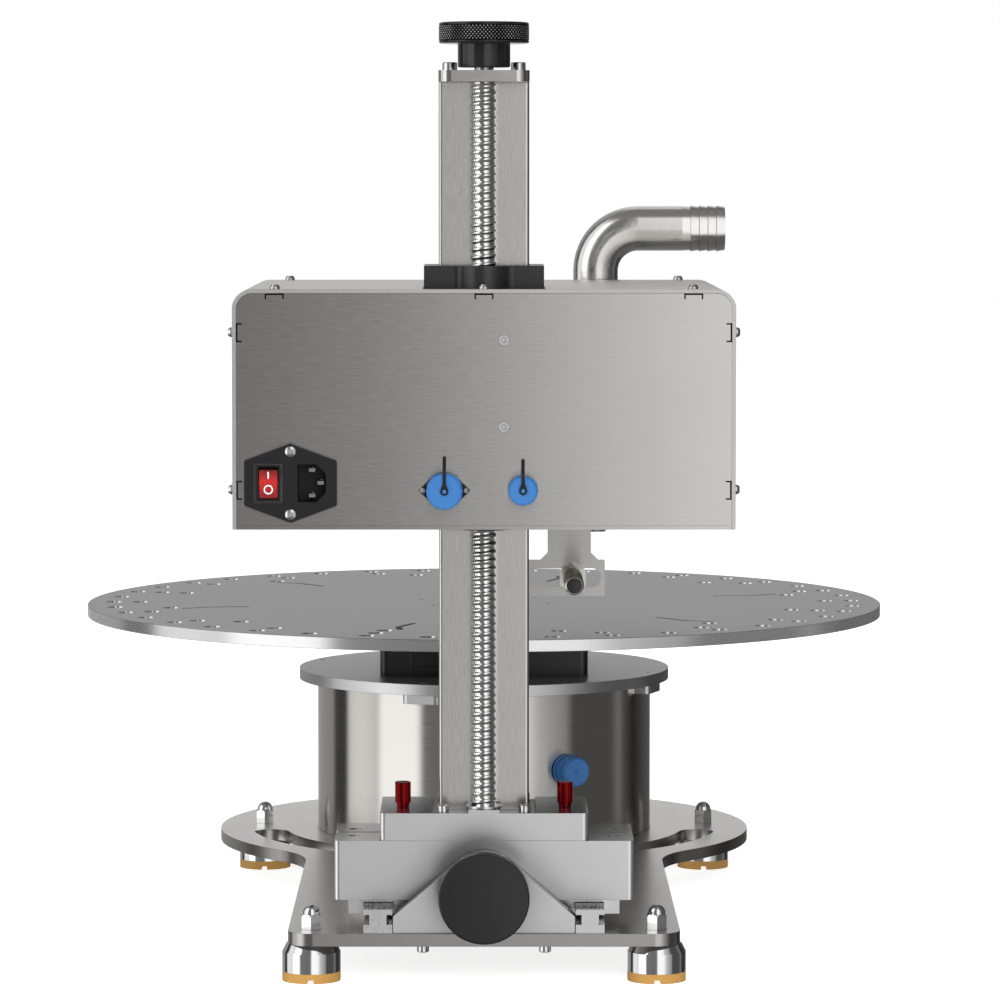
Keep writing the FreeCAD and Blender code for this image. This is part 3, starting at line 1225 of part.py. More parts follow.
def sensor_bracket():
    """Bent stainless strip under the floor with a level slot for the sensor."""
    y0 = SENSOR_PLATE_Y
    y1 = y0 + 2.0
    outline = [(41.5, HEAD_LOW), (69.9, HEAD_LOW), (69.9, 256.0), (74.6, 251.3), (79.0, 251.3),
               (79.0, 227.5), (20.0, 227.5), (20.0, 251.3), (36.8, 251.3), (41.5, 256.0)]
    plate = wall(outline, y0, y1)
    corners = [e for e in plate.Edges if e.BoundBox.YLength > 1.0 and e.BoundBox.ZMin < HEAD_LOW - 5.0]
    plate = plate.makeFillet(1.0, corners)
    foot = block(41.5, 69.9, y0, y0 + 20.0, HEAD_LOW - 2.0, HEAD_LOW)
    shape = join([plate, foot])
    slot_half = SENSOR_R + 0.2
    slot = join([block(SLOT_X_LOW, SLOT_X_HIGH - slot_half, y0, y1, SENSOR_Z - slot_half, SENSOR_Z + slot_half),
                 rod(SLOT_X_HIGH - slot_half, y0, SENSOR_Z, slot_half, 2.0, Y_AXIS),
                 rod(SLOT_X_LOW, y0, SENSOR_Z, slot_half, 2.0, Y_AXIS)])
    holes = [rod(x, y, HEAD_LOW - 2.0, 2.1, 2.0) for x, y in sensor_screw_places()]
    return shape.cut(group([slot] + holes))


def sensor_screws():
    return group([socket_screw(x, y, HEAD_LOW - 2.0, 3.3, 3.0, 2.05, 7.0, V(0, 0, -1))
                  for x, y in sensor_screw_places()])


def sensor():
    near = SENSOR_PLATE_Y - 60.0
    body = rod(SENSOR_X, near, SENSOR_Z, SENSOR_R, 72.0, Y_AXIS)
    return body.makeChamfer(0.8, [e for e in body.Edges if e.BoundBox.YLength < 0.01])


def sensor_nuts():
    nuts = []
    for y in (SENSOR_PLATE_Y - 4.2, SENSOR_PLATE_Y + 2.2):
        nut = along(hexagon(0, 0, 0, 17.0, 4.0), Y_AXIS)
        nuts.append(moved(nut, SENSOR_X, y, SENSOR_Z).cut(rod(SENSOR_X, y, SENSOR_Z, SENSOR_R, 4.0, Y_AXIS)))
    return group(nuts)


def write(name, shape):
    placed = moved(shape, 0, ROW_SHIFT_Y, 0)
    placed.exportStep(os.path.join("parts", name + ".step"))


def build():
    foot_bodies, foot_pads, dome_nuts = feet()
    pieces = {
        "base_plate": base_plate(),
        "foot_bodies": foot_bodies,
        "foot_pads": foot_pads,
        "dome_nuts": dome_nuts,
        "linear_rails": linear_rails(),
        "screw_supports": group([screw_bracket(), far_bearing_block()]),
        "cross_bearings": cross_bearings(),
        "drum_shell": drum_shell(),
        "drum_plate": drum_plate(),
        "base_screws": group([rail_screws(), bracket_bolts(), drum_screws(), platform_screws()]),
        "platform_housing": platform_housing(),
        "table_motor": table_motor(),
        "drum_socket": drum_socket(),
        "drum_cap": drum_cap(),
        "table_hub": group([table_gear(), table_screws()]),
        "table_pinion": table_pinion(),
        "turntable": turntable(),
        "cross_screw": cross_screw(),
        "cross_knob": cross_knob(),
        "bearing_blocks": bearing_blocks(),
        "carriage_block_near": carriage_block(CARRIAGE_NEAR_Y, CARRIAGE_SPLIT_Y - CARRIAGE_GAP / 2.0, 9.5),
        "carriage_block_far": carriage_block(CARRIAGE_SPLIT_Y + CARRIAGE_GAP / 2.0, CARRIAGE_FAR_Y, 40.0),
        "cross_nut": cross_nut(),
        "upper_block": upper_block(),
        "column_foot": column_foot(),
        "column_screws": group([column_screws(), cap_screws()]),
        "column": column(),
        "column_cap": column_cap(),
        "lift_bearings": lift_bearings(),
        "clamp_screw_left": clamp_screw(*clamp_places()[0]),
        "clamp_screw_right": clamp_screw(*clamp_places()[1]),
        "lift_screw": lift_screw(),
        "lift_knob": lift_knob(),
        "slider_block": slider(),
        "lift_nut": lift_nut(),
        "housing_cover": housing_cover(),
        "back_plate": back_plate(),
        "front_plate": front_plate(),
        "floor_plate": floor_plate(),
        "head_screws": group([cover_screws(), back_screws(), socket_screws(), pump_screws(), sensor_screws()]),
        "power_inlet": power_inlet(),
        "inlet_pins": inlet_pins(),
        "rocker_switch": rocker_switch(),
        "sockets": sockets(),
        "socket_cap_left": socket_cap(LEFT_SOCKET, 8.3),
        "socket_cap_right": socket_cap(RIGHT_SOCKET, 6.9),
        "cap_straps": cap_straps(),
        "pump_body": pump_body(),
        "pump_cover": pump_cover(),
        "pump_motor": pump_motor(),
        "drive_gear": drive_gear(),
        "idler_gear": idler_gear(),
        "inlet_elbow": inlet_elbow(),
        "outlet_nozzle": outlet_nozzle(),
        "control_panel": group([control_panel(), button_bezel()]),
        "display_glass": display_glass(),
        "start_button": start_button(),
        "control_electronics": group([power_supply(), control_board()]),
        "sensor_bracket": sensor_bracket(),
        "sensor": group([sensor(), sensor_nuts()]),
    }
    os.makedirs("parts", exist_ok=True)
    for name, shape in pieces.items():
        write(name, shape)
    print(len(pieces), "nodes")


build()
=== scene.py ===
import json
import math

import bpy
from mathutils import Matrix, Vector


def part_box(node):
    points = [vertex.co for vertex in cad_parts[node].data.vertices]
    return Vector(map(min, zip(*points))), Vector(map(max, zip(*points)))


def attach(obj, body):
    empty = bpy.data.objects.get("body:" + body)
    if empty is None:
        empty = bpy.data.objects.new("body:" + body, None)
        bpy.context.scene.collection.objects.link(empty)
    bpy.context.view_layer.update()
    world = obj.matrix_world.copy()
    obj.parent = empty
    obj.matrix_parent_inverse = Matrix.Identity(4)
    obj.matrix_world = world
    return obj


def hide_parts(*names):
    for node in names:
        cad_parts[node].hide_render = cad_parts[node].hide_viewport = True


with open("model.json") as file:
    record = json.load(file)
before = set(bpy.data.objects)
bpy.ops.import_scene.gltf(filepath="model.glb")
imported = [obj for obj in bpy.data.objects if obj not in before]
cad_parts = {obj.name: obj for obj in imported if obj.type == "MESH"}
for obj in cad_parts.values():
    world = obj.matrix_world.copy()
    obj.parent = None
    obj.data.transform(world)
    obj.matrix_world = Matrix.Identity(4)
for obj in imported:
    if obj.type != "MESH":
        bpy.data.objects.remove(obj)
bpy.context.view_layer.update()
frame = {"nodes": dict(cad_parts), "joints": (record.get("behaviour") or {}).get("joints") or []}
NODES = frame["nodes"]
MM = 0.001

# ---------------------------------------------------------------- camera, stage and light

CAMERA_BACK = 3.326
CAMERA_HEIGHT = 0.508
CAMERA_PITCH = math.radians(3.987)
FOCAL_PIXELS = 4793.5
SENSOR_MM = 36.0


def make_camera():
    data = bpy.data.cameras.new("camera")
    data.sensor_width = SENSOR_MM
    data.lens = SENSOR_MM * FOCAL_PIXELS / 1000.0
    data.shift_x = 0.016
    data.clip_end = 60.0
    camera = bpy.data.objects.new("camera", data)
    camera.location = (0.0, -CAMERA_BACK, CAMERA_HEIGHT)
    camera.rotation_euler = (math.pi / 2 - CAMERA_PITCH, 0.0, 0.0)
    bpy.context.scene.collection.objects.link(camera)
    bpy.context.scene.camera = camera


# Brightness of the studio by direction on the horizon, in degrees from the camera's side, + to the right.
STUDIO = [(-180, 0.68), (-172, 0.66), (-164, 0.36), (-129, 0.30), (-125, 0.05), (-111, 0.05), (-106, 0.90),
          (-92, 0.95), (-79, 0.80), (-75, 1.45), (-47, 1.45), (-42, 0.20), (-12, 0.17), (-3.5, 0.19),
          (-1.5, 0.24), (0, 0.42), (1.5, 0.78), (3.5, 1.10), (6, 1.2), (27, 1.15), (38, 0.62), (50, 0.42),
          (58, 0.34), (64, 0.08), (99, 0.08), (107, 0.22), (113, 0.09), (125, 0.02), (148, 0.08), (166, 0.10),
          (173, 0.66), (180, 0.68)]
# Above and below the walls: brightness, and the heights of a unit direction between which it fades in.
CEILING, CEILING_FROM, CEILING_TO = 0.20, 0.80, 0.92
PIT, PIT_FROM, PIT_TO = 0.12, -0.40, -0.58
WHITE = (1.0, 1.0, 1.0, 1.0)


def map_range(tree, source, low, high, to_low=0.0, to_high=1.0, smooth=False):
    """The output of a Map Range node."""
    node = tree.nodes.new("ShaderNodeMapRange")
    if smooth:
        node.interpolation_type = "SMOOTHSTEP"
    for name, value in (("From Min", low), ("From Max", high), ("To Min", to_low), ("To Max", to_high)):
        node.inputs[name].default_value = value
    tree.links.new(source, node.inputs["Value"])
    return node.outputs[0]


def mix_colours(tree, first, second, share=1.0, multiply=False):
    """The output of a colour Mix node; its three inputs are outputs of other nodes or plain values."""
    node = tree.nodes.new("ShaderNodeMix")
    node.data_type = "RGBA"
    if multiply:
        node.blend_type = "MULTIPLY"
    for socket, value in ((node.inputs[0], share), (node.inputs[6], first), (node.inputs[7], second)):
        if isinstance(value, bpy.types.NodeSocket):
            tree.links.new(value, socket)
        else:
            socket.default_value = value
    return node.outputs[2]


def mix_shaders(tree, first, second, share):
    node = tree.nodes.new("ShaderNodeMixShader")
    for socket, value in zip(node.inputs, (share, first, second)):
        tree.links.new(value, socket)
    return node.outputs[0]


def white_background(tree, strength):
    node = tree.nodes.new("ShaderNodeBackground")
    node.inputs["Color"].default_value = WHITE
    node.inputs["Strength"].default_value = strength
    return node.outputs[0]


def make_world():
    """Studio walls, ceiling and pit for light and reflections; the camera itself sees plain white."""
    world = bpy.data.worlds.new("studio")
    bpy.context.scene.world = world
    world.use_nodes = True
    tree = world.node_tree
    tree.nodes.clear()
    new = tree.nodes.new
    link = tree.links.new
    where = new("ShaderNodeTexCoord")
    split = new("ShaderNodeSeparateXYZ")
    link(where.outputs["Generated"], split.inputs[0])
    back = new("ShaderNodeMath")
    back.operation = "MULTIPLY"
    back.inputs[1].default_value = -1.0
    link(split.outputs["Y"], back.inputs[0])
    turn = new("ShaderNodeMath")
    turn.operation = "ARCTAN2"
    link(split.outputs["X"], turn.inputs[0])
    link(back.outputs[0], turn.inputs[1])
    ramp = new("ShaderNodeValToRGB")
    stops = ramp.color_ramp.elements
    peak = max(value for _, value in STUDIO)
    for k, (angle, value) in enumerate(STUDIO):
        stop = stops[k] if k < 2 else stops.new(1.0)
        stop.position = (angle + 180.0) / 360.0
        stop.color = (value / peak,) * 3 + (1.0,)
    link(map_range(tree, turn.outputs[0], -math.pi, math.pi), ramp.inputs[0])
    walls = new("ShaderNodeBackground")
    walls.inputs["Strength"].default_value = peak
    link(ramp.outputs[0], walls.inputs["Color"])
    up = split.outputs["Z"]
    lower = mix_shaders(tree, walls.outputs[0], white_background(tree, PIT),
                        map_range(tree, up, PIT_FROM, PIT_TO, smooth=True))
    room = mix_shaders(tree, lower, white_background(tree, CEILING),
                       map_range(tree, up, CEILING_FROM, CEILING_TO, smooth=True))
    rays = new("ShaderNodeLightPath")
    out = new("ShaderNodeOutputWorld")
    link(mix_shaders(tree, room, white_background(tree, 1.0), rays.outputs["Is Camera Ray"]),
         out.inputs["Surface"])


def make_light(name, place, target, size, power):
    """A soft area light that neither the camera nor a reflection sees."""
    data = bpy.data.lights.new(name, "AREA")
    data.shape = "RECTANGLE"
    data.size, data.size_y = size
    data.energy = power
    lamp = bpy.data.objects.new(name, data)
    lamp.location = place
    lamp.rotation_euler = (Vector(target) - Vector(place)).to_track_quat("-Z", "Y").to_euler()
    lamp.visible_glossy = False
    lamp.visible_camera = False
    bpy.context.scene.collection.objects.link(lamp)


FLOOR_HALF = 14.0
FLOOR_GLOW = 0.80


def make_stage():
    """A plain pale floor, well below white in its own shading so that a faint shadow stays."""
    mesh = bpy.data.meshes.new("floor")
    corners = [(x * FLOOR_HALF, y * FLOOR_HALF, 0) for x, y in ((-1, -1), (1, -1), (1, 1), (-1, 1))]
    mesh.from_pydata(corners, [], [(0, 1, 2, 3)])
    floor = bpy.data.objects.new("floor", mesh)
    bpy.context.scene.collection.objects.link(floor)
    material = bpy.data.materials.new("pale_floor")
    material.use_nodes = True
    shader = material.node_tree.nodes["Principled BSDF"]
    shader.inputs["Base Color"].default_value = (0.93, 0.93, 0.93, 1.0)
    shader.inputs["Roughness"].default_value = 1.0
    shader.inputs["Specular IOR Level"].default_value = 0.0
    shader.inputs["Emission Color"].default_value = WHITE
    shader.inputs["Emission Strength"].default_value = FLOOR_GLOW
    mesh.materials.append(material)
    floor.visible_glossy = False


# ---------------------------------------------------------------- materials

# How far the noise of a finish is spread out before it changes colour or roughness.
NOISE_LOW, NOISE_HIGH = 0.30, 0.70
COAT_ROUGHNESS = 0.12
BLOTCH_SCALE = 26.0
# Paler colour of the edges: bare worn metal, and a painted highlight on rims.
WORN_AND_HIGHLIGHT_COLOUR = (0.75, 0.75, 0.75, 1.0)
# Openness in which the painted shade of a narrow gap, or of a wide neighbour, goes from dark to no effect,
# and a gap's darkest share.
GAP_LOW, GAP_HIGH, GAP_DARKEST = 0.25, 0.68, 0.03
HALO_LOW, HALO_HIGH = 0.35, 0.90


def openness(tree, distance, samples):
    """The output of an Ambient Occlusion node that looks as far as distance in millimetres."""
    node = tree.nodes.new("ShaderNodeAmbientOcclusion")
    node.samples = samples
    node.inputs["Distance"].default_value = distance * MM
    return node.outputs["AO"]


def finish(name, colour, metallic, roughness, grain, vary=0.05, rough_vary=0.06, bump=0.15, depth=0.02,
           brushed=None, blotch=0.0, edge=0.0, edge_wear_and_highlight=0.0, coat=0.0, specular=0.5, gap_shade=0.0, halo_shade=None,
           extra=None):
    """A procedural finish. grain is the noise's scale per metre along x, y and z: a small number is the
    direction in which its streaks run. brushed is the anisotropy and its rotation, edge the radius in
    millimetres of the highlight on the edges, edge_wear_and_highlight how much paler they are: partly bare
    worn metal, partly a painted highlight on rims. gap_shade is how far in millimetres painted shade
    darkens narrow gaps and inner corners, halo_shade the same painted shade cast by wide neighbours, with
    the share that's lost."""
    material = bpy.data.materials.new(name)
    material.use_nodes = True
    tree = material.node_tree
    new = tree.nodes.new
    link = tree.links.new
    shader = tree.nodes["Principled BSDF"]
    shader.inputs["Metallic"].default_value = metallic
    shader.inputs["Coat Weight"].default_value = coat
    shader.inputs["Coat Roughness"].default_value = COAT_ROUGHNESS
    shader.inputs["Specular IOR Level"].default_value = specular
    where = new("ShaderNodeTexCoord")
    scaled = new("ShaderNodeVectorMath")
    scaled.operation = "MULTIPLY"
    scaled.inputs[1].default_value = grain
    link(where.outputs["Object"], scaled.inputs[0])
    noise = new("ShaderNodeTexNoise")
    noise.inputs["Scale"].default_value = 1.0
    noise.inputs["Detail"].default_value = 3.0
    noise.inputs["Roughness"].default_value = 0.6
    link(scaled.outputs[0], noise.inputs["Vector"])
    dark = tuple(c * (1.0 - vary) for c in colour) + (1.0,)
    pale = tuple(min(1.0, c * (1.0 + vary)) for c in colour) + (1.0,)
    colour_out = mix_colours(tree, dark, pale, map_range(tree, noise.outputs["Fac"], NOISE_LOW, NOISE_HIGH))
    if blotch:
        wide = new("ShaderNodeTexNoise")
        wide.inputs["Scale"].default_value = BLOTCH_SCALE
        wide.inputs["Detail"].default_value = 2.0
        link(where.outputs["Object"], wide.inputs["Vector"])
        shade = new("ShaderNodeValToRGB")
        shade.color_ramp.elements[0].position = 0.35
        shade.color_ramp.elements[0].color = (1.0 - blotch,) * 3 + (1.0,)
        shade.color_ramp.elements[1].position = 0.65
        link(wide.outputs["Fac"], shade.inputs[0])
        colour_out = mix_colours(tree, colour_out, shade.outputs[0], multiply=True)
    link(map_range(tree, noise.outputs["Fac"], NOISE_LOW, NOISE_HIGH, max(0.02, roughness - rough_vary),
                   min(1.0, roughness + rough_vary)), shader.inputs["Roughness"])
    normal_out = None
    if edge:
        bevel = new("ShaderNodeBevel")
        bevel.samples = 4
        bevel.inputs["Radius"].default_value = edge * MM
        normal_out = bevel.outputs[0]
        # Paler edges: partly bare worn metal, partly a painted highlight along the rims.
        if edge_wear_and_highlight:
            face = new("ShaderNodeNewGeometry")
            same = new("ShaderNodeVectorMath")
            same.operation = "DOT_PRODUCT"
            link(bevel.outputs[0], same.inputs[0])
            link(face.outputs["Normal"], same.inputs[1])
            worn_and_highlight = map_range(tree, same.outputs["Value"], 0.99, 0.75, 0.0, edge_wear_and_highlight)
            colour_out = mix_colours(tree, colour_out, WORN_AND_HIGHLIGHT_COLOUR, worn_and_highlight)
    if bump:
        relief = new("ShaderNodeBump")
        relief.inputs["Strength"].default_value = bump
        relief.inputs["Distance"].default_value = depth * MM
        link(noise.outputs["Fac"], relief.inputs["Height"])
        if normal_out is not None:
            link(normal_out, relief.inputs["Normal"])
        normal_out = relief.outputs[0]
    if brushed:
        shader.inputs["Anisotropic"].default_value = brushed[0]
        shader.inputs["Anisotropic Rotation"].default_value = brushed[1]
        tangent = new("ShaderNodeTangent")
        tangent.direction_type = "RADIAL"
        tangent.axis = "Z"
        link(tangent.outputs[0], shader.inputs["Tangent"])
    if extra:
        colour_out = extra(tree, where, colour_out)
    # Painted shade: the colour darkens in narrow gaps and inner corners, where shade falls.
    if gap_shade:
        kept = map_range(tree, openness(tree, gap_shade, 6), GAP_LOW, GAP_HIGH, GAP_DARKEST)
        colour_out = mix_colours(tree, colour_out, kept, multiply=True)
    # Painted shade: a wide darker halo on faces near a large neighbour.
    if halo_shade:
        distance, lost = halo_shade
        kept = map_range(tree, openness(tree, distance, 8), HALO_LOW, HALO_HIGH, 1.0 - lost)
        colour_out = mix_colours(tree, colour_out, kept, multiply=True)
    link(colour_out, shader.inputs["Base Color"])
    if normal_out is not None:
        link(normal_out, shader.inputs["Normal"])
    return material


CHROME = (0.80, 0.80, 0.81)
BLACK = (0.014, 0.014, 0.015)

UP_DOWN = 0.25      # turns the wide side of the reflection upright, across level scratches


def facing(upward, colour, roughness):
    """Another colour and roughness on the faces that look up, or on the ones that look sideways."""
    def change(tree, where, colour_out):
        new = tree.nodes.new
        link = tree.links.new
        shader = tree.nodes["Principled BSDF"]
        face = new("ShaderNodeNewGeometry")
        split = new("ShaderNodeSeparateXYZ")
        link(face.outputs["True Normal"], split.inputs[0])
        chosen = new("ShaderNodeMath")
        chosen.operation = "GREATER_THAN" if upward else "LESS_THAN"
        chosen.inputs[1].default_value = 0.9 if upward else 0.4
        link(split.outputs["Z"], chosen.inputs[0])
        rough = new("ShaderNodeMix")
        rough.inputs[3].default_value = roughness
        link(chosen.outputs[0], rough.inputs[0])
        link(shader.inputs["Roughness"].links[0].from_socket, rough.inputs[2])
        link(rough.outputs[0], shader.inputs["Roughness"])
        return mix_colours(tree, colour_out, colour + (1.0,), chosen.outputs[0])
    return change


TIP_COLOUR = (0.64, 0.64, 0.65, 1.0)
TIP_FROM, TIP_TO = 0.38, 0.85


def worn_tips(tree, where, colour_out):
    """Bare metal towards the tips of the knurling's pyramids, near black between them."""
    height = tree.nodes.new("ShaderNodeAttribute")
    height.attribute_name = "tip"
    bare = map_range(tree, height.outputs["Fac"], TIP_FROM, TIP_TO)
    return mix_colours(tree, colour_out, TIP_COLOUR, bare)


def make_materials():
    level = dict(brushed=(1.0, UP_DOWN))
    return {
        "plate": finish("brushed_plate", (0.70, 0.68, 0.65), 1.0, 0.24, (110, 110, 1300), vary=0.07,
                        rough_vary=0.03, bump=0.10, depth=0.02, blotch=0.02, gap_shade=1.6, **level),
        "cover": finish("brushed_cover", (0.79, 0.77, 0.74), 1.0, 0.36, (1400, 120, 1400), vary=0.07,
                        bump=0.12, blotch=0.03, edge=0.5, gap_shade=1.2),
        "column": finish("brushed_column", (0.67, 0.65, 0.62), 1.0, 0.21, (1500, 1500, 90), vary=0.07,
                         rough_vary=0.03, bump=0.04, blotch=0.02, edge=0.5, gap_shade=1.5),
        "drum": finish("turned_drum", (0.66, 0.64, 0.61), 1.0, 0.20, (30, 30, 1700), vary=0.05, bump=0.05,
                       rough_vary=0.04, blotch=0.02, gap_shade=3.0, **level),
        "satin": finish("satin_steel", (0.70, 0.70, 0.70), 1.0, 0.38, (900, 900, 900), vary=0.05, bump=0.06,
                        blotch=0.05, edge=0.4, gap_shade=2.0),
        "base": finish("laser_cut_plate", (0.74, 0.73, 0.71), 1.0, 0.30, (1300, 1300, 60), vary=0.10,
                       rough_vary=0.06, bump=0.10, blotch=0.06, edge=0.4, gap_shade=2.5,
                       extra=facing(False, (0.46, 0.44, 0.42), 0.26)),
        "table": finish("table_aluminium", (0.43, 0.43, 0.435), 0.85, 0.44, (1600, 1600, 1600), vary=0.04,
                        bump=0.05, blotch=0.03, extra=facing(False, (0.70, 0.70, 0.70), 0.16)),
        # Painted shade: a wide dark halo round the knob that stands before the blocks.
        "block": finish("bead_blasted", (0.78, 0.78, 0.785), 0.95, 0.30, (2200, 2200, 2200), vary=0.04,
                        rough_vary=0.02, bump=0.02, blotch=0.03, edge=0.5, gap_shade=2.2, halo_shade=(45.0, 0.62),
                        extra=facing(True, (0.50, 0.50, 0.50), 0.14)),
        "ground": finish("ground_steel", (0.80, 0.80, 0.80), 1.0, 0.27, (400, 60, 400), vary=0.04,
                         rough_vary=0.04, bump=0.01, edge=0.25, gap_shade=2.0),
        "chrome": finish("polished_chrome", CHROME, 1.0, 0.07, (700, 700, 700), vary=0.03, rough_vary=0.03,
                         bump=0.02, edge=0.25, gap_shade=1.2),
        "screw": finish("zinc_screws", (0.76, 0.76, 0.76), 1.0, 0.22, (900, 900, 900), vary=0.05, bump=0.04,
                        edge=0.2, gap_shade=1.2),
        "thread": finish("ball_screw_steel", (0.90, 0.90, 0.90), 1.0, 0.09, (500, 500, 900), vary=0.05,
                         rough_vary=0.04, bump=0.02, gap_shade=1.0),
        "pipe": finish("polished_pipe", (0.82, 0.805, 0.78), 1.0, 0.20, (420, 420, 420), vary=0.05,
                       rough_vary=0.05, bump=0.03, blotch=0.04, gap_shade=1.2),
        "black": finish("black_anodised", BLACK, 0.3, 0.13, (2600, 2600, 2600), vary=0.10, rough_vary=0.03,
                        bump=0.01, edge=0.3, edge_wear_and_highlight=0.05, specular=0.6, gap_shade=1.0),
        # Its pale edges are mostly a painted highlight on the rim of the knob's face.
        "satin_black": finish("black_anodised_face", (0.012, 0.012, 0.012), 0.1, 0.36, (2600, 2600, 2600),
                              vary=0.08, rough_vary=0.03, bump=0.01, edge=0.4, edge_wear_and_highlight=0.5, specular=0.4,
                              gap_shade=1.0),
        "knurl": finish("black_knurling", (0.004, 0.004, 0.004), 0.9, 0.24, (2600, 2600, 2600), vary=0.10,
                        rough_vary=0.03, bump=0.0, extra=worn_tips),
        "case": finish("black_gear_case", (0.010, 0.010, 0.010), 0.2, 0.20, (900, 900, 900), vary=0.15,
                       bump=0.02, edge=0.6, edge_wear_and_highlight=0.30, specular=0.6),
        "slider": finish("black_acetal", (0.015, 0.015, 0.0155), 0.0, 0.30, (1300, 1300, 300), vary=0.15,
                         bump=0.06, edge=0.4, gap_shade=1.5),
        "plastic": finish("black_plastic", (0.008, 0.008, 0.009), 0.0, 0.42, (2400, 2400, 2400), vary=0.12,
                          bump=0.08, edge=0.3, specular=0.33, gap_shade=0.8),
        "frame": finish("grey_plastic", (0.024, 0.024, 0.026), 0.0, 0.30, (2400, 2400, 2400), vary=0.08,
                        bump=0.04, edge=0.15, gap_shade=0.8),
        "rubber": finish("black_rubber", (0.010, 0.010, 0.010), 0.0, 0.55, (1800, 1800, 1800), vary=0.2,
                         bump=0.15, specular=0.35),
        "red": finish("red_anodised", (0.20, 0.005, 0.006), 0.95, 0.15, (900, 900, 300), vary=0.12, bump=0.03,
                      edge=0.15, gap_shade=0.9, extra=facing(True, (0.42, 0.42, 0.42), 0.3)),
        # Painted shade: a near-black finish for the inserts that stand in for the dark inside the notches.
        "notch_shade": finish("black_notch_shade", (0.002, 0.002, 0.002), 0.0, 0.8, (1800, 1800, 1800), vary=0.2, bump=0.05,
                       specular=0.05),
        "pad": finish("orange_pad", (0.45, 0.24, 0.052), 0.0, 0.55, (1500, 1500, 500), vary=0.08, bump=0.12,
                      edge=0.3),
        "blue": finish("blue_plastic", (0.024, 0.138, 0.38), 0.0, 0.33, (1800, 1800, 1800), vary=0.06,
                       bump=0.05, edge=0.4, gap_shade=1.2),
        "motor": finish("black_paint", (0.02, 0.02, 0.02), 0.0, 0.45, (1500, 1500, 1500), vary=0.15,
                        bump=0.12, edge=0.3),
        "lens": finish("display_glass", (0.01, 0.014, 0.018), 0.0, 0.06, (300, 300, 300), vary=0.05,
                       rough_vary=0.02, bump=0.0, coat=0.6),
        "green": finish("green_button", (0.03, 0.33, 0.09), 0.0, 0.28, (1200, 1200, 1200), vary=0.06,
                        bump=0.04, coat=0.3, edge=0.3),
        "board": finish("circuit_board", (0.02, 0.12, 0.05), 0.0, 0.4, (700, 700, 700), vary=0.3, bump=0.1),
        "white": finish("white_print", (0.85, 0.86, 0.90), 0.0, 0.5, (900, 900, 900), vary=0.02, bump=0.02),
        "rocker": make_rocker_material(),
        "disc": finish("sensor_face", (0.022, 0.022, 0.023), 0.0, 0.5, (2000, 2000, 2000), vary=0.1,
                       bump=0.05),
        "nickel": finish("nickel_barrel", (0.78, 0.75, 0.71), 1.0, 0.16, (600, 600, 600), vary=0.06,
                         bump=0.03, edge=0.25, gap_shade=1.2),
    }


def make_rocker_material():
    """Red translucent rocker: fine level ribs, and a painted glow of its lamp that makes it paler in the
    middle.
    """
    low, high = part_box("rocker_switch")

    def painted_lamp_glow(tree, where, colour_out):
        new = tree.nodes.new
        link = tree.links.new
        split = new("ShaderNodeSeparateXYZ")
        link(where.outputs["Object"], split.inputs[0])
        band = map_range(tree, split.outputs["Z"], low.z, high.z)
        # Painted light: the lamp's glow as a paler colour in the middle, darker towards both ends.
        ramp = new("ShaderNodeValToRGB")
        marks = ramp.color_ramp.elements
        marks[0].color = (0.16, 0.012, 0.012, 1.0)
        marks[1].position = 1.0
        marks[1].color = (0.10, 0.012, 0.012, 1.0)
        centre = marks.new(0.56)
        centre.color = (0.46, 0.018, 0.014, 1.0)
        link(band, ramp.inputs[0])
        ribs = new("ShaderNodeTexWave")
        ribs.bands_direction = "Z"
        ribs.inputs["Scale"].default_value = 300.0
        link(where.outputs["Object"], ribs.inputs["Vector"])
        soft = map_range(tree, ribs.outputs["Fac"], 0.0, 1.0, 0.75)
        return mix_colours(tree, ramp.outputs[0], soft, multiply=True)

    return finish("red_rocker", (0.5, 0.02, 0.02), 0.0, 0.25, (900, 900, 900), vary=0.05, bump=0.02,
                  specular=0.3, extra=painted_lamp_glow)


DRESS = {
    "plate": ("back_plate", "front_plate", "floor_plate", "sensor_bracket", "column_cap"),
    "cover": ("housing_cover",),
    "column": ("column",),
    "drum": ("drum_shell",),
    "satin": ("drum_plate", "table_hub", "pump_body", "pump_cover", "outlet_nozzle", "column_foot"),
    "base": ("base_plate",),
    "table": ("turntable",),
    "block": ("carriage_block_near", "carriage_block_far", "upper_block", "screw_supports"),
    "ground": ("linear_rails", "bearing_blocks", "cross_bearings", "lift_bearings", "table_pinion",
               "drive_gear", "idler_gear", "cross_nut", "lift_nut"),
    "chrome": ("foot_bodies", "dome_nuts", "inlet_pins"),
    "screw": ("base_screws", "head_screws", "column_screws"),
    "thread": ("lift_screw", "cross_screw"),
    "pipe": ("inlet_elbow",),
    "black": ("cross_knob", "lift_knob"),
    "case": ("platform_housing",),
    "slider": ("slider_block",),
    "plastic": ("power_inlet", "control_panel", "sockets"),
    "rubber": ("cap_straps",),
    "red": ("clamp_screw_left", "clamp_screw_right"),
    "pad": ("foot_pads",),
    "blue": ("drum_cap", "socket_cap_left", "socket_cap_right", "drum_socket"),
    "motor": ("table_motor", "pump_motor"),
    "lens": ("display_glass",),
    "green": ("start_button",),
    "board": ("control_electronics",),
    "rocker": ("rocker_switch",),
    "nickel": ("sensor",),
}


def dress_nodes(materials):
    for key, names in DRESS.items():
        for name in names:
            data = NODES[name].data
            data.materials.clear()
            data.materials.append(materials[key])


# ---------------------------------------------------------------- turned pieces

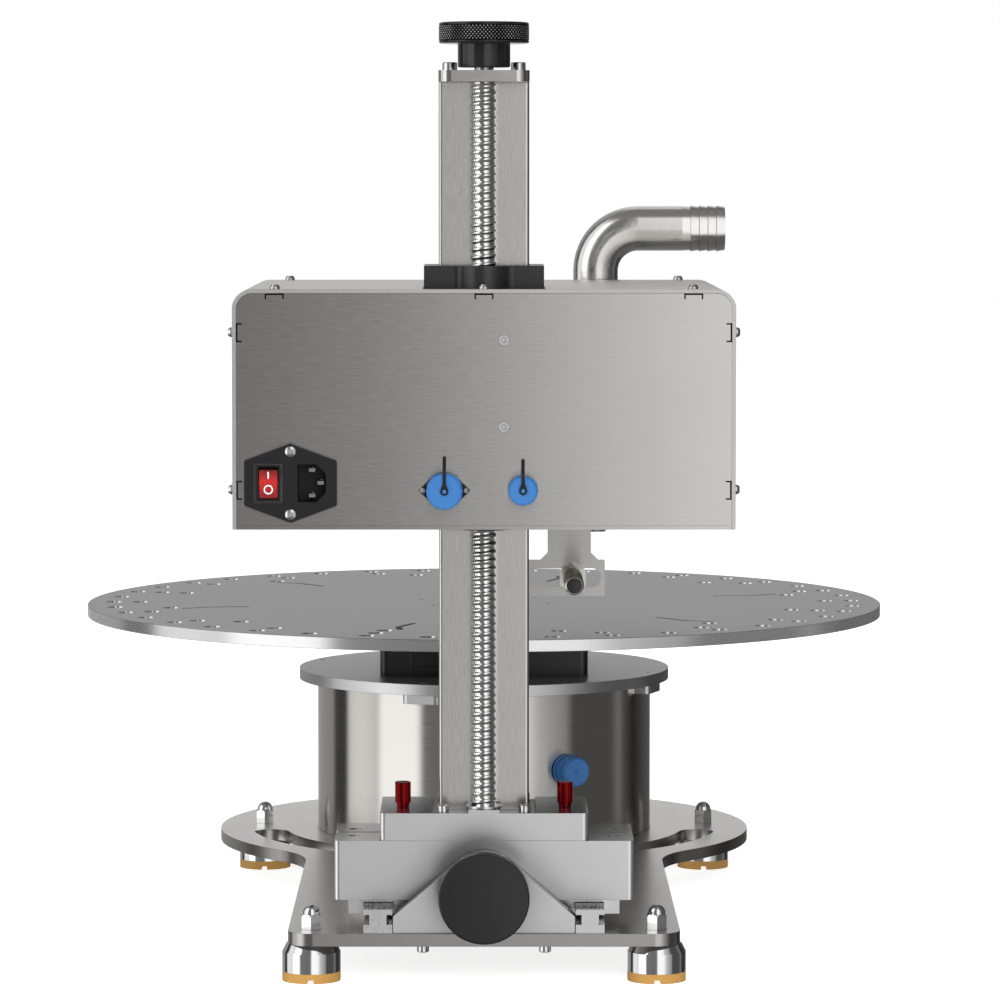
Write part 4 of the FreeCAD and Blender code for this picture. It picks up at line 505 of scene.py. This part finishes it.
def piece(name, points, faces, material, body, matrix=None, smooth=35.0):
    """A new mesh piece that rides on a body."""
    mesh = bpy.data.meshes.new(name)
    mesh.from_pydata(points, [], faces)
    if matrix is not None:
        mesh.transform(matrix)
    mesh.materials.append(material)
    made = bpy.data.objects.new(name, mesh)
    bpy.context.scene.collection.objects.link(made)
    mesh.shade_smooth()
    mesh.set_sharp_from_angle(angle=math.radians(smooth))
    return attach(made, body)


def turned(rows, segments):
    """Points and faces of a turned piece about +Z. A row is a radius or a function of the angle, and a
    height; the first and last rows are closed with a point on the axis."""
    points = [(0.0, 0.0, rows[0][1])]
    for radius, z in rows:
        for k in range(segments):
            angle = 2 * math.pi * k / segments
            r = radius(angle, z) if callable(radius) else radius
            points.append((r * math.cos(angle), r * math.sin(angle), z))
    points.append((0.0, 0.0, rows[-1][1]))
    faces = [(0, 1 + (k + 1) % segments, 1 + k) for k in range(segments)]
    for j in range(len(rows) - 1):
        a = 1 + j * segments
        b = a + segments
        for k in range(segments):
            n = (k + 1) % segments
            faces.append((a + k, a + n, b + n, b + k))
    last = len(points) - 1
    top = 1 + (len(rows) - 1) * segments
    faces += [(last, top + k, top + (k + 1) % segments) for k in range(segments)]
    return points, faces


def axis_matrix(origin, direction):
    turn = Vector((0.0, 0.0, 1.0)).rotation_difference(Vector(direction)).to_matrix().to_4x4()
    return Matrix.Translation(origin) @ turn


SCREW_R = 8.0 * MM
JOURNAL_R = 6.0 * MM
LEAD = 5.0 * MM
GROOVE_DEPTH = 1.0 * MM
GROOVE_HALF = 2.0 * MM
GROOVE_R = (GROOVE_HALF ** 2 + GROOVE_DEPTH ** 2) / (2 * GROOVE_DEPTH)
SCREW_STEP = 0.30 * MM
SCREW_SEGMENTS = 56
END_CHAMFER = 0.4 * MM
SHOULDER_CHAMFER = 0.5 * MM


def groove(angle, z):
    """Radius of a ball screw: a rounded groove that climbs one lead a turn, right-handed."""
    phase = (z / LEAD - angle / (2 * math.pi)) % 1.0
    across = (phase - 0.5) * LEAD
    if abs(across) >= GROOVE_HALF:
        return SCREW_R
    return SCREW_R - GROOVE_DEPTH + GROOVE_R - math.sqrt(GROOVE_R ** 2 - across ** 2)


def ball_screw(name, node, body, axis, below, above, material):
    """A ball screw in place of the CAD's plain rod; below and above are its two plain journals' lengths."""
    low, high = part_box(node)
    middle = (low + high) / 2
    length = (high - low)[2 if axis == "z" else 1]
    start, stop = below, length - above
    count = int((stop - start) / SCREW_STEP)
    inset = 0.2 * MM
    rows = [(JOURNAL_R - END_CHAMFER, 0.0), (JOURNAL_R, END_CHAMFER), (JOURNAL_R, start),
            (SCREW_R - SHOULDER_CHAMFER, start)]
    rows += [(groove, start + inset + (stop - start - 2 * inset) * k / count) for k in range(count + 1)]
    rows += [(SCREW_R - SHOULDER_CHAMFER, stop), (JOURNAL_R, stop), (JOURNAL_R, length - END_CHAMFER),
             (JOURNAL_R - END_CHAMFER, length)]
    points, faces = turned(rows, SCREW_SEGMENTS)
    if axis == "z":
        matrix = axis_matrix((middle.x, middle.y, low.z), (0, 0, 1))
    else:
        matrix = axis_matrix((middle.x, low.y, middle.z), (0, 1, 0))
    made = piece(name, points, faces, material, body, matrix, 50.0)
    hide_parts(node)


KNURLS = 76
KNURL_DEPTH = 0.60 * MM
KNOB_R = 28.1 * MM
KNOB_EDGE = 1.5 * MM
KNOB_DISC = 13.1 * MM
KNOB_HUB_R = 16.3 * MM
KNOB_WALL = 6.0 * MM


def knurled_knob(name, node, body, origin, direction, length, smooth, knurl):
    """A hand knob with a band of small pyramids between two rounded rims, hub first along the direction."""
    hub = length - KNOB_DISC
    bore_end = length - KNOB_WALL
    low = hub + KNOB_EDGE
    high = length - KNOB_EDGE
    matrix = axis_matrix(origin, direction)
    arc = [math.pi / 2 * k / 6 for k in range(7)]
    rows = [(JOURNAL_R, bore_end), (JOURNAL_R, 0.0), (KNOB_HUB_R - 0.9 * MM, 0.0),
            (KNOB_HUB_R - 0.3 * MM, 0.25 * MM), (KNOB_HUB_R, 0.9 * MM), (KNOB_HUB_R, hub - 0.5 * MM),
            (KNOB_HUB_R + 0.5 * MM, hub)]
    rows += [(KNOB_R - KNOB_EDGE * (1 - math.sin(a)), low - KNOB_EDGE * math.cos(a)) for a in arc]
    rows += [(KNOB_R - KNURL_DEPTH, low), (KNOB_R - KNURL_DEPTH, high)]
    rows += [(KNOB_R - KNOB_EDGE * (1 - math.sin(a)), high + KNOB_EDGE * math.cos(a)) for a in reversed(arc)]
    made = piece(name, *turned(rows, 96), smooth, body, matrix, 40.0)
    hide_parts(node)

    around = 2 * KNURLS
    up = 2 * round((high - low) / (2 * math.pi * KNOB_R / KNURLS))
    points, faces, tips = [], [], []
    for j in range(up + 1):
        for k in range(around):
            angle = 2 * math.pi * k / around
            tip = 1.0 if (j + k) % 2 and 0 < j < up else 0.0
            r = KNOB_R - (1.0 - tip) * KNURL_DEPTH
            points.append((r * math.cos(angle), r * math.sin(angle), low + (high - low) * j / up))
            tips.append(tip)
    for j in range(up):
        for k in range(around):
            a, b = j * around + k, j * around + (k + 1) % around
            c, d = b + around, a + around
            faces += [(a, b, c), (a, c, d)] if (j + k) % 2 == 0 else [(a, b, d), (b, c, d)]
    band = piece(name + "_knurling", points, faces, knurl, body, matrix, 12.0)
    band.data.attributes.new("tip", "FLOAT", "POINT").data.foreach_set("value", tips)


# Lengths of the two plain ends of each ball screw.
LIFT_BELOW, LIFT_ABOVE = 14.3 * MM, 31.0 * MM
CROSS_NEAR, CROSS_FAR = 39.6 * MM, 10.0 * MM


def make_screws_and_knobs(materials):
    ball_screw("lift_ball_screw", "lift_screw", "lift_screw", "z", LIFT_BELOW, LIFT_ABOVE,
               materials["thread"])
    ball_screw("cross_ball_screw", "cross_screw", "cross_screw", "y", CROSS_NEAR, CROSS_FAR,
               materials["thread"])
    low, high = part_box("lift_knob")
    middle = (low + high) / 2
    knurled_knob("lift_hand_knob", "lift_knob", "lift_screw", (middle.x, middle.y, low.z), (0, 0, 1),
                 high.z - low.z, materials["black"], materials["knurl"])
    low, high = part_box("cross_knob")
    middle = (low + high) / 2
    knurled_knob("cross_hand_knob", "cross_knob", "cross_screw", (middle.x, high.y, middle.z), (0, -1, 0),
                 high.y - low.y, materials["satin_black"], materials["knurl"])


# ---------------------------------------------------------------- small pieces of the power inlet

def flat_ring(outer, inner, thick, segments=48):
    points, faces = [], []
    for z in (0.0, thick):
        for radius in (outer, inner):
            for k in range(segments):
                angle = 2 * math.pi * k / segments
                points.append((radius * math.cos(angle), radius * math.sin(angle), z))
    n = segments
    for k in range(n):
        m = (k + 1) % n
        faces += [(k, m, 2 * n + m, 2 * n + k), (n + m, n + k, 3 * n + k, 3 * n + m),
                  (2 * n + k, 2 * n + m, 3 * n + m, 3 * n + k), (m, k, n + k, n + m)]
    return points, faces


def slab(half_x, half_y, thick):
    points = [(x, y, z) for z in (0.0, thick) for x, y in
              ((-half_x, -half_y), (half_x, -half_y), (half_x, half_y), (-half_x, half_y))]
    faces = [(3, 2, 1, 0), (4, 5, 6, 7), (0, 1, 5, 4), (1, 2, 6, 5), (2, 3, 7, 6), (3, 0, 4, 7)]
    return points, faces


# The rocker in millimetres: half its height, how far its middle stands before the pivot, how much further its
# two ends do; and its tilt at rest.
ROCKER_HALF_H = 8.8
ROCKER_FRONT = 3.4
ROCKER_RISE = 1.2
ROCKER_TILT = math.radians(7.0)
PRINT_SUNK = 0.02
PRINT_T = 0.12 * MM


def rocker_pivot():
    return Vector(next(j for j in frame["joints"] if j["name"] == "rocker_tilt")["pos_m"])


def make_rocker_marks(materials):
    """The generic on bar and off ring, printed on the rocker's two faces."""
    slope = math.atan2(ROCKER_RISE, ROCKER_HALF_H)
    for name, up, (points, faces) in (
            ("rocker_on_bar", 5.6, slab(0.38 * MM, 2.2 * MM, PRINT_T)),
            ("rocker_off_ring", -3.5, flat_ring(2.85 * MM, 2.15 * MM, PRINT_T))):
        side = 1 if up > 0 else -1
        out = (ROCKER_FRONT + abs(up) * ROCKER_RISE / ROCKER_HALF_H - PRINT_SUNK) * MM
        face = Matrix.Translation((0.0, -out, up * MM)) @ Matrix.Rotation(side * slope, 4, "X") \
            @ Matrix.Rotation(math.pi / 2, 4, "X")
        matrix = Matrix.Translation(rocker_pivot()) @ Matrix.Rotation(ROCKER_TILT, 4, "X") @ face
        made = piece(name, points, faces, materials["white"], "rocker", matrix)


def make_rocker_frame(materials):
    """Bevelled frame round the rocker's bay. A ring is its half width, half height and depth in mm."""
    centre = rocker_pivot()
    face_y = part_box("power_inlet")[0].y
    rings = ((9.1, 12.4, 0.0), (8.7, 12.0, -0.55), (8.2, 11.5, -0.55), (6.6, 10.4, 0.7), (6.15, 10.0, 1.4),
             (6.15, 10.0, 2.2), (9.1, 12.4, 0.4))
    points, faces = [], []
    for half_x, half_z, y in rings:
        for sx, sz in ((-1, -1), (1, -1), (1, 1), (-1, 1)):
            points.append((centre.x + sx * half_x * MM, face_y + y * MM, centre.z + sz * half_z * MM))
    count = len(rings)
    for j in range(count):
        a, b = 4 * j, 4 * ((j + 1) % count)
        for k in range(4):
            n = (k + 1) % 4
            faces.append((a + k, a + n, b + n, b + k))
    made = piece("rocker_frame", points, faces, materials["frame"], "head", None, 20.0)


def make_sensor_face(materials):
    """Black sensing face let into the near end of the sensor's barrel."""
    low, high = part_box("sensor")
    middle = (low + high) / 2
    points, faces = turned([(5.1 * MM, -0.3 * MM), (5.1 * MM, 0.15 * MM), (4.8 * MM, 0.35 * MM)], 48)
    made = piece("sensor_face", points, faces, materials["disc"], "sensor",
                 axis_matrix((middle.x, low.y + 0.2 * MM, middle.z), (0, -1, 0)))


def make_sensor_thread(materials):
    """Fine thread on the sensor's barrel."""
    low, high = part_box("sensor")
    middle = (low + high) / 2
    pitch = 1.0 * MM
    root, crest = 5.98 * MM, 6.3 * MM
    first, last = 4.0 * MM, (high.y - low.y) - 4.0 * MM
    count = int((last - first) / pitch)
    rows = [(root, first)]
    for k in range(count):
        rows += [(crest, first + (k + 0.5) * pitch), (root, first + (k + 1) * pitch)]
    made = piece("sensor_thread", *turned(rows, 40), materials["nickel"], "sensor",
                 axis_matrix((middle.x, low.y, middle.z), (0, 1, 0)), 20.0)


NOTCH_HALF = 5.73 * MM
NOTCH_LEG = 3.38 * MM
NOTCH_W = 0.66 * MM
NOTCH_LIP = 0.13 * MM
NOTCH_XS = (-129.2 * MM, 0.0, 129.2 * MM)
NOTCH_ZS = (308.1 * MM, 405.5 * MM)
# How far the black inserts of painted shade stand out of the notches, and how deep they go.
SHADE_INSERT_PROUD = 0.05 * MM
SHADE_INSERT_DEPTH = 1.18 * MM


def make_notch_shade_inserts(materials):
    """Near-black pieces set into the bent reliefs in the rims of the housing's two end plates, with a thin
    lip: painted shade that stands in for the dark of these narrow gaps.
    """
    h, leg, w = NOTCH_HALF + NOTCH_LIP, NOTCH_LEG + NOTCH_LIP, NOTCH_W + 2 * NOTCH_LIP
    outline = [(-h, -leg), (-h, 0.0), (h, 0.0), (h, -leg), (h - w, -leg), (h - w, -w), (w - h, -w),
               (w - h, -leg)]
    corners = len(outline)
    inset = 0.02 * MM
    for node, near in (("back_plate", True), ("front_plate", False)):
        low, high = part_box(node)
        if near:
            span = (low.y - SHADE_INSERT_PROUD, low.y + SHADE_INSERT_DEPTH)
        else:
            span = (high.y - SHADE_INSERT_DEPTH, high.y + SHADE_INSERT_PROUD)
        places = [(x, high.z - inset, 0.0) for x in NOTCH_XS]
        places += [(side * (high.x - inset), z, side * math.pi / 2) for side in (-1, 1) for z in NOTCH_ZS]
        points, faces = [], []
        for x, z, turn in places:
            first = len(points)
            c, s = math.cos(turn), math.sin(turn)
            for y in span:
                points += [(x + a * c + b * s, y, z - a * s + b * c) for a, b in outline]
            faces.append(tuple(first + k for k in range(corners)))
            faces.append(tuple(first + 2 * corners - 1 - k for k in range(corners)))
            for k in range(corners):
                n = (k + 1) % corners
                faces.append((first + k, first + corners + k, first + corners + n, first + n))
        made = piece(node + "_shade_inserts", points, faces, materials["notch_shade"], "head", None, 20.0)


make_camera()
make_world()
make_stage()
make_light("front_fill", (0.3, -3.2, 1.6), (0.0, 0.0, 0.3), (2.2, 1.6), 60.0)
make_light("top_fill", (0.0, 0.2, 2.6), (0.0, 0.0, 0.2), (2.0, 2.0), 30.0)
MATERIALS = make_materials()
dress_nodes(MATERIALS)
make_screws_and_knobs(MATERIALS)
make_rocker_marks(MATERIALS)
make_rocker_frame(MATERIALS)
make_sensor_face(MATERIALS)
make_sensor_thread(MATERIALS)
make_notch_shade_inserts(MATERIALS)

view = bpy.context.scene.view_settings
view.view_transform = "Standard"
view.look = "None"
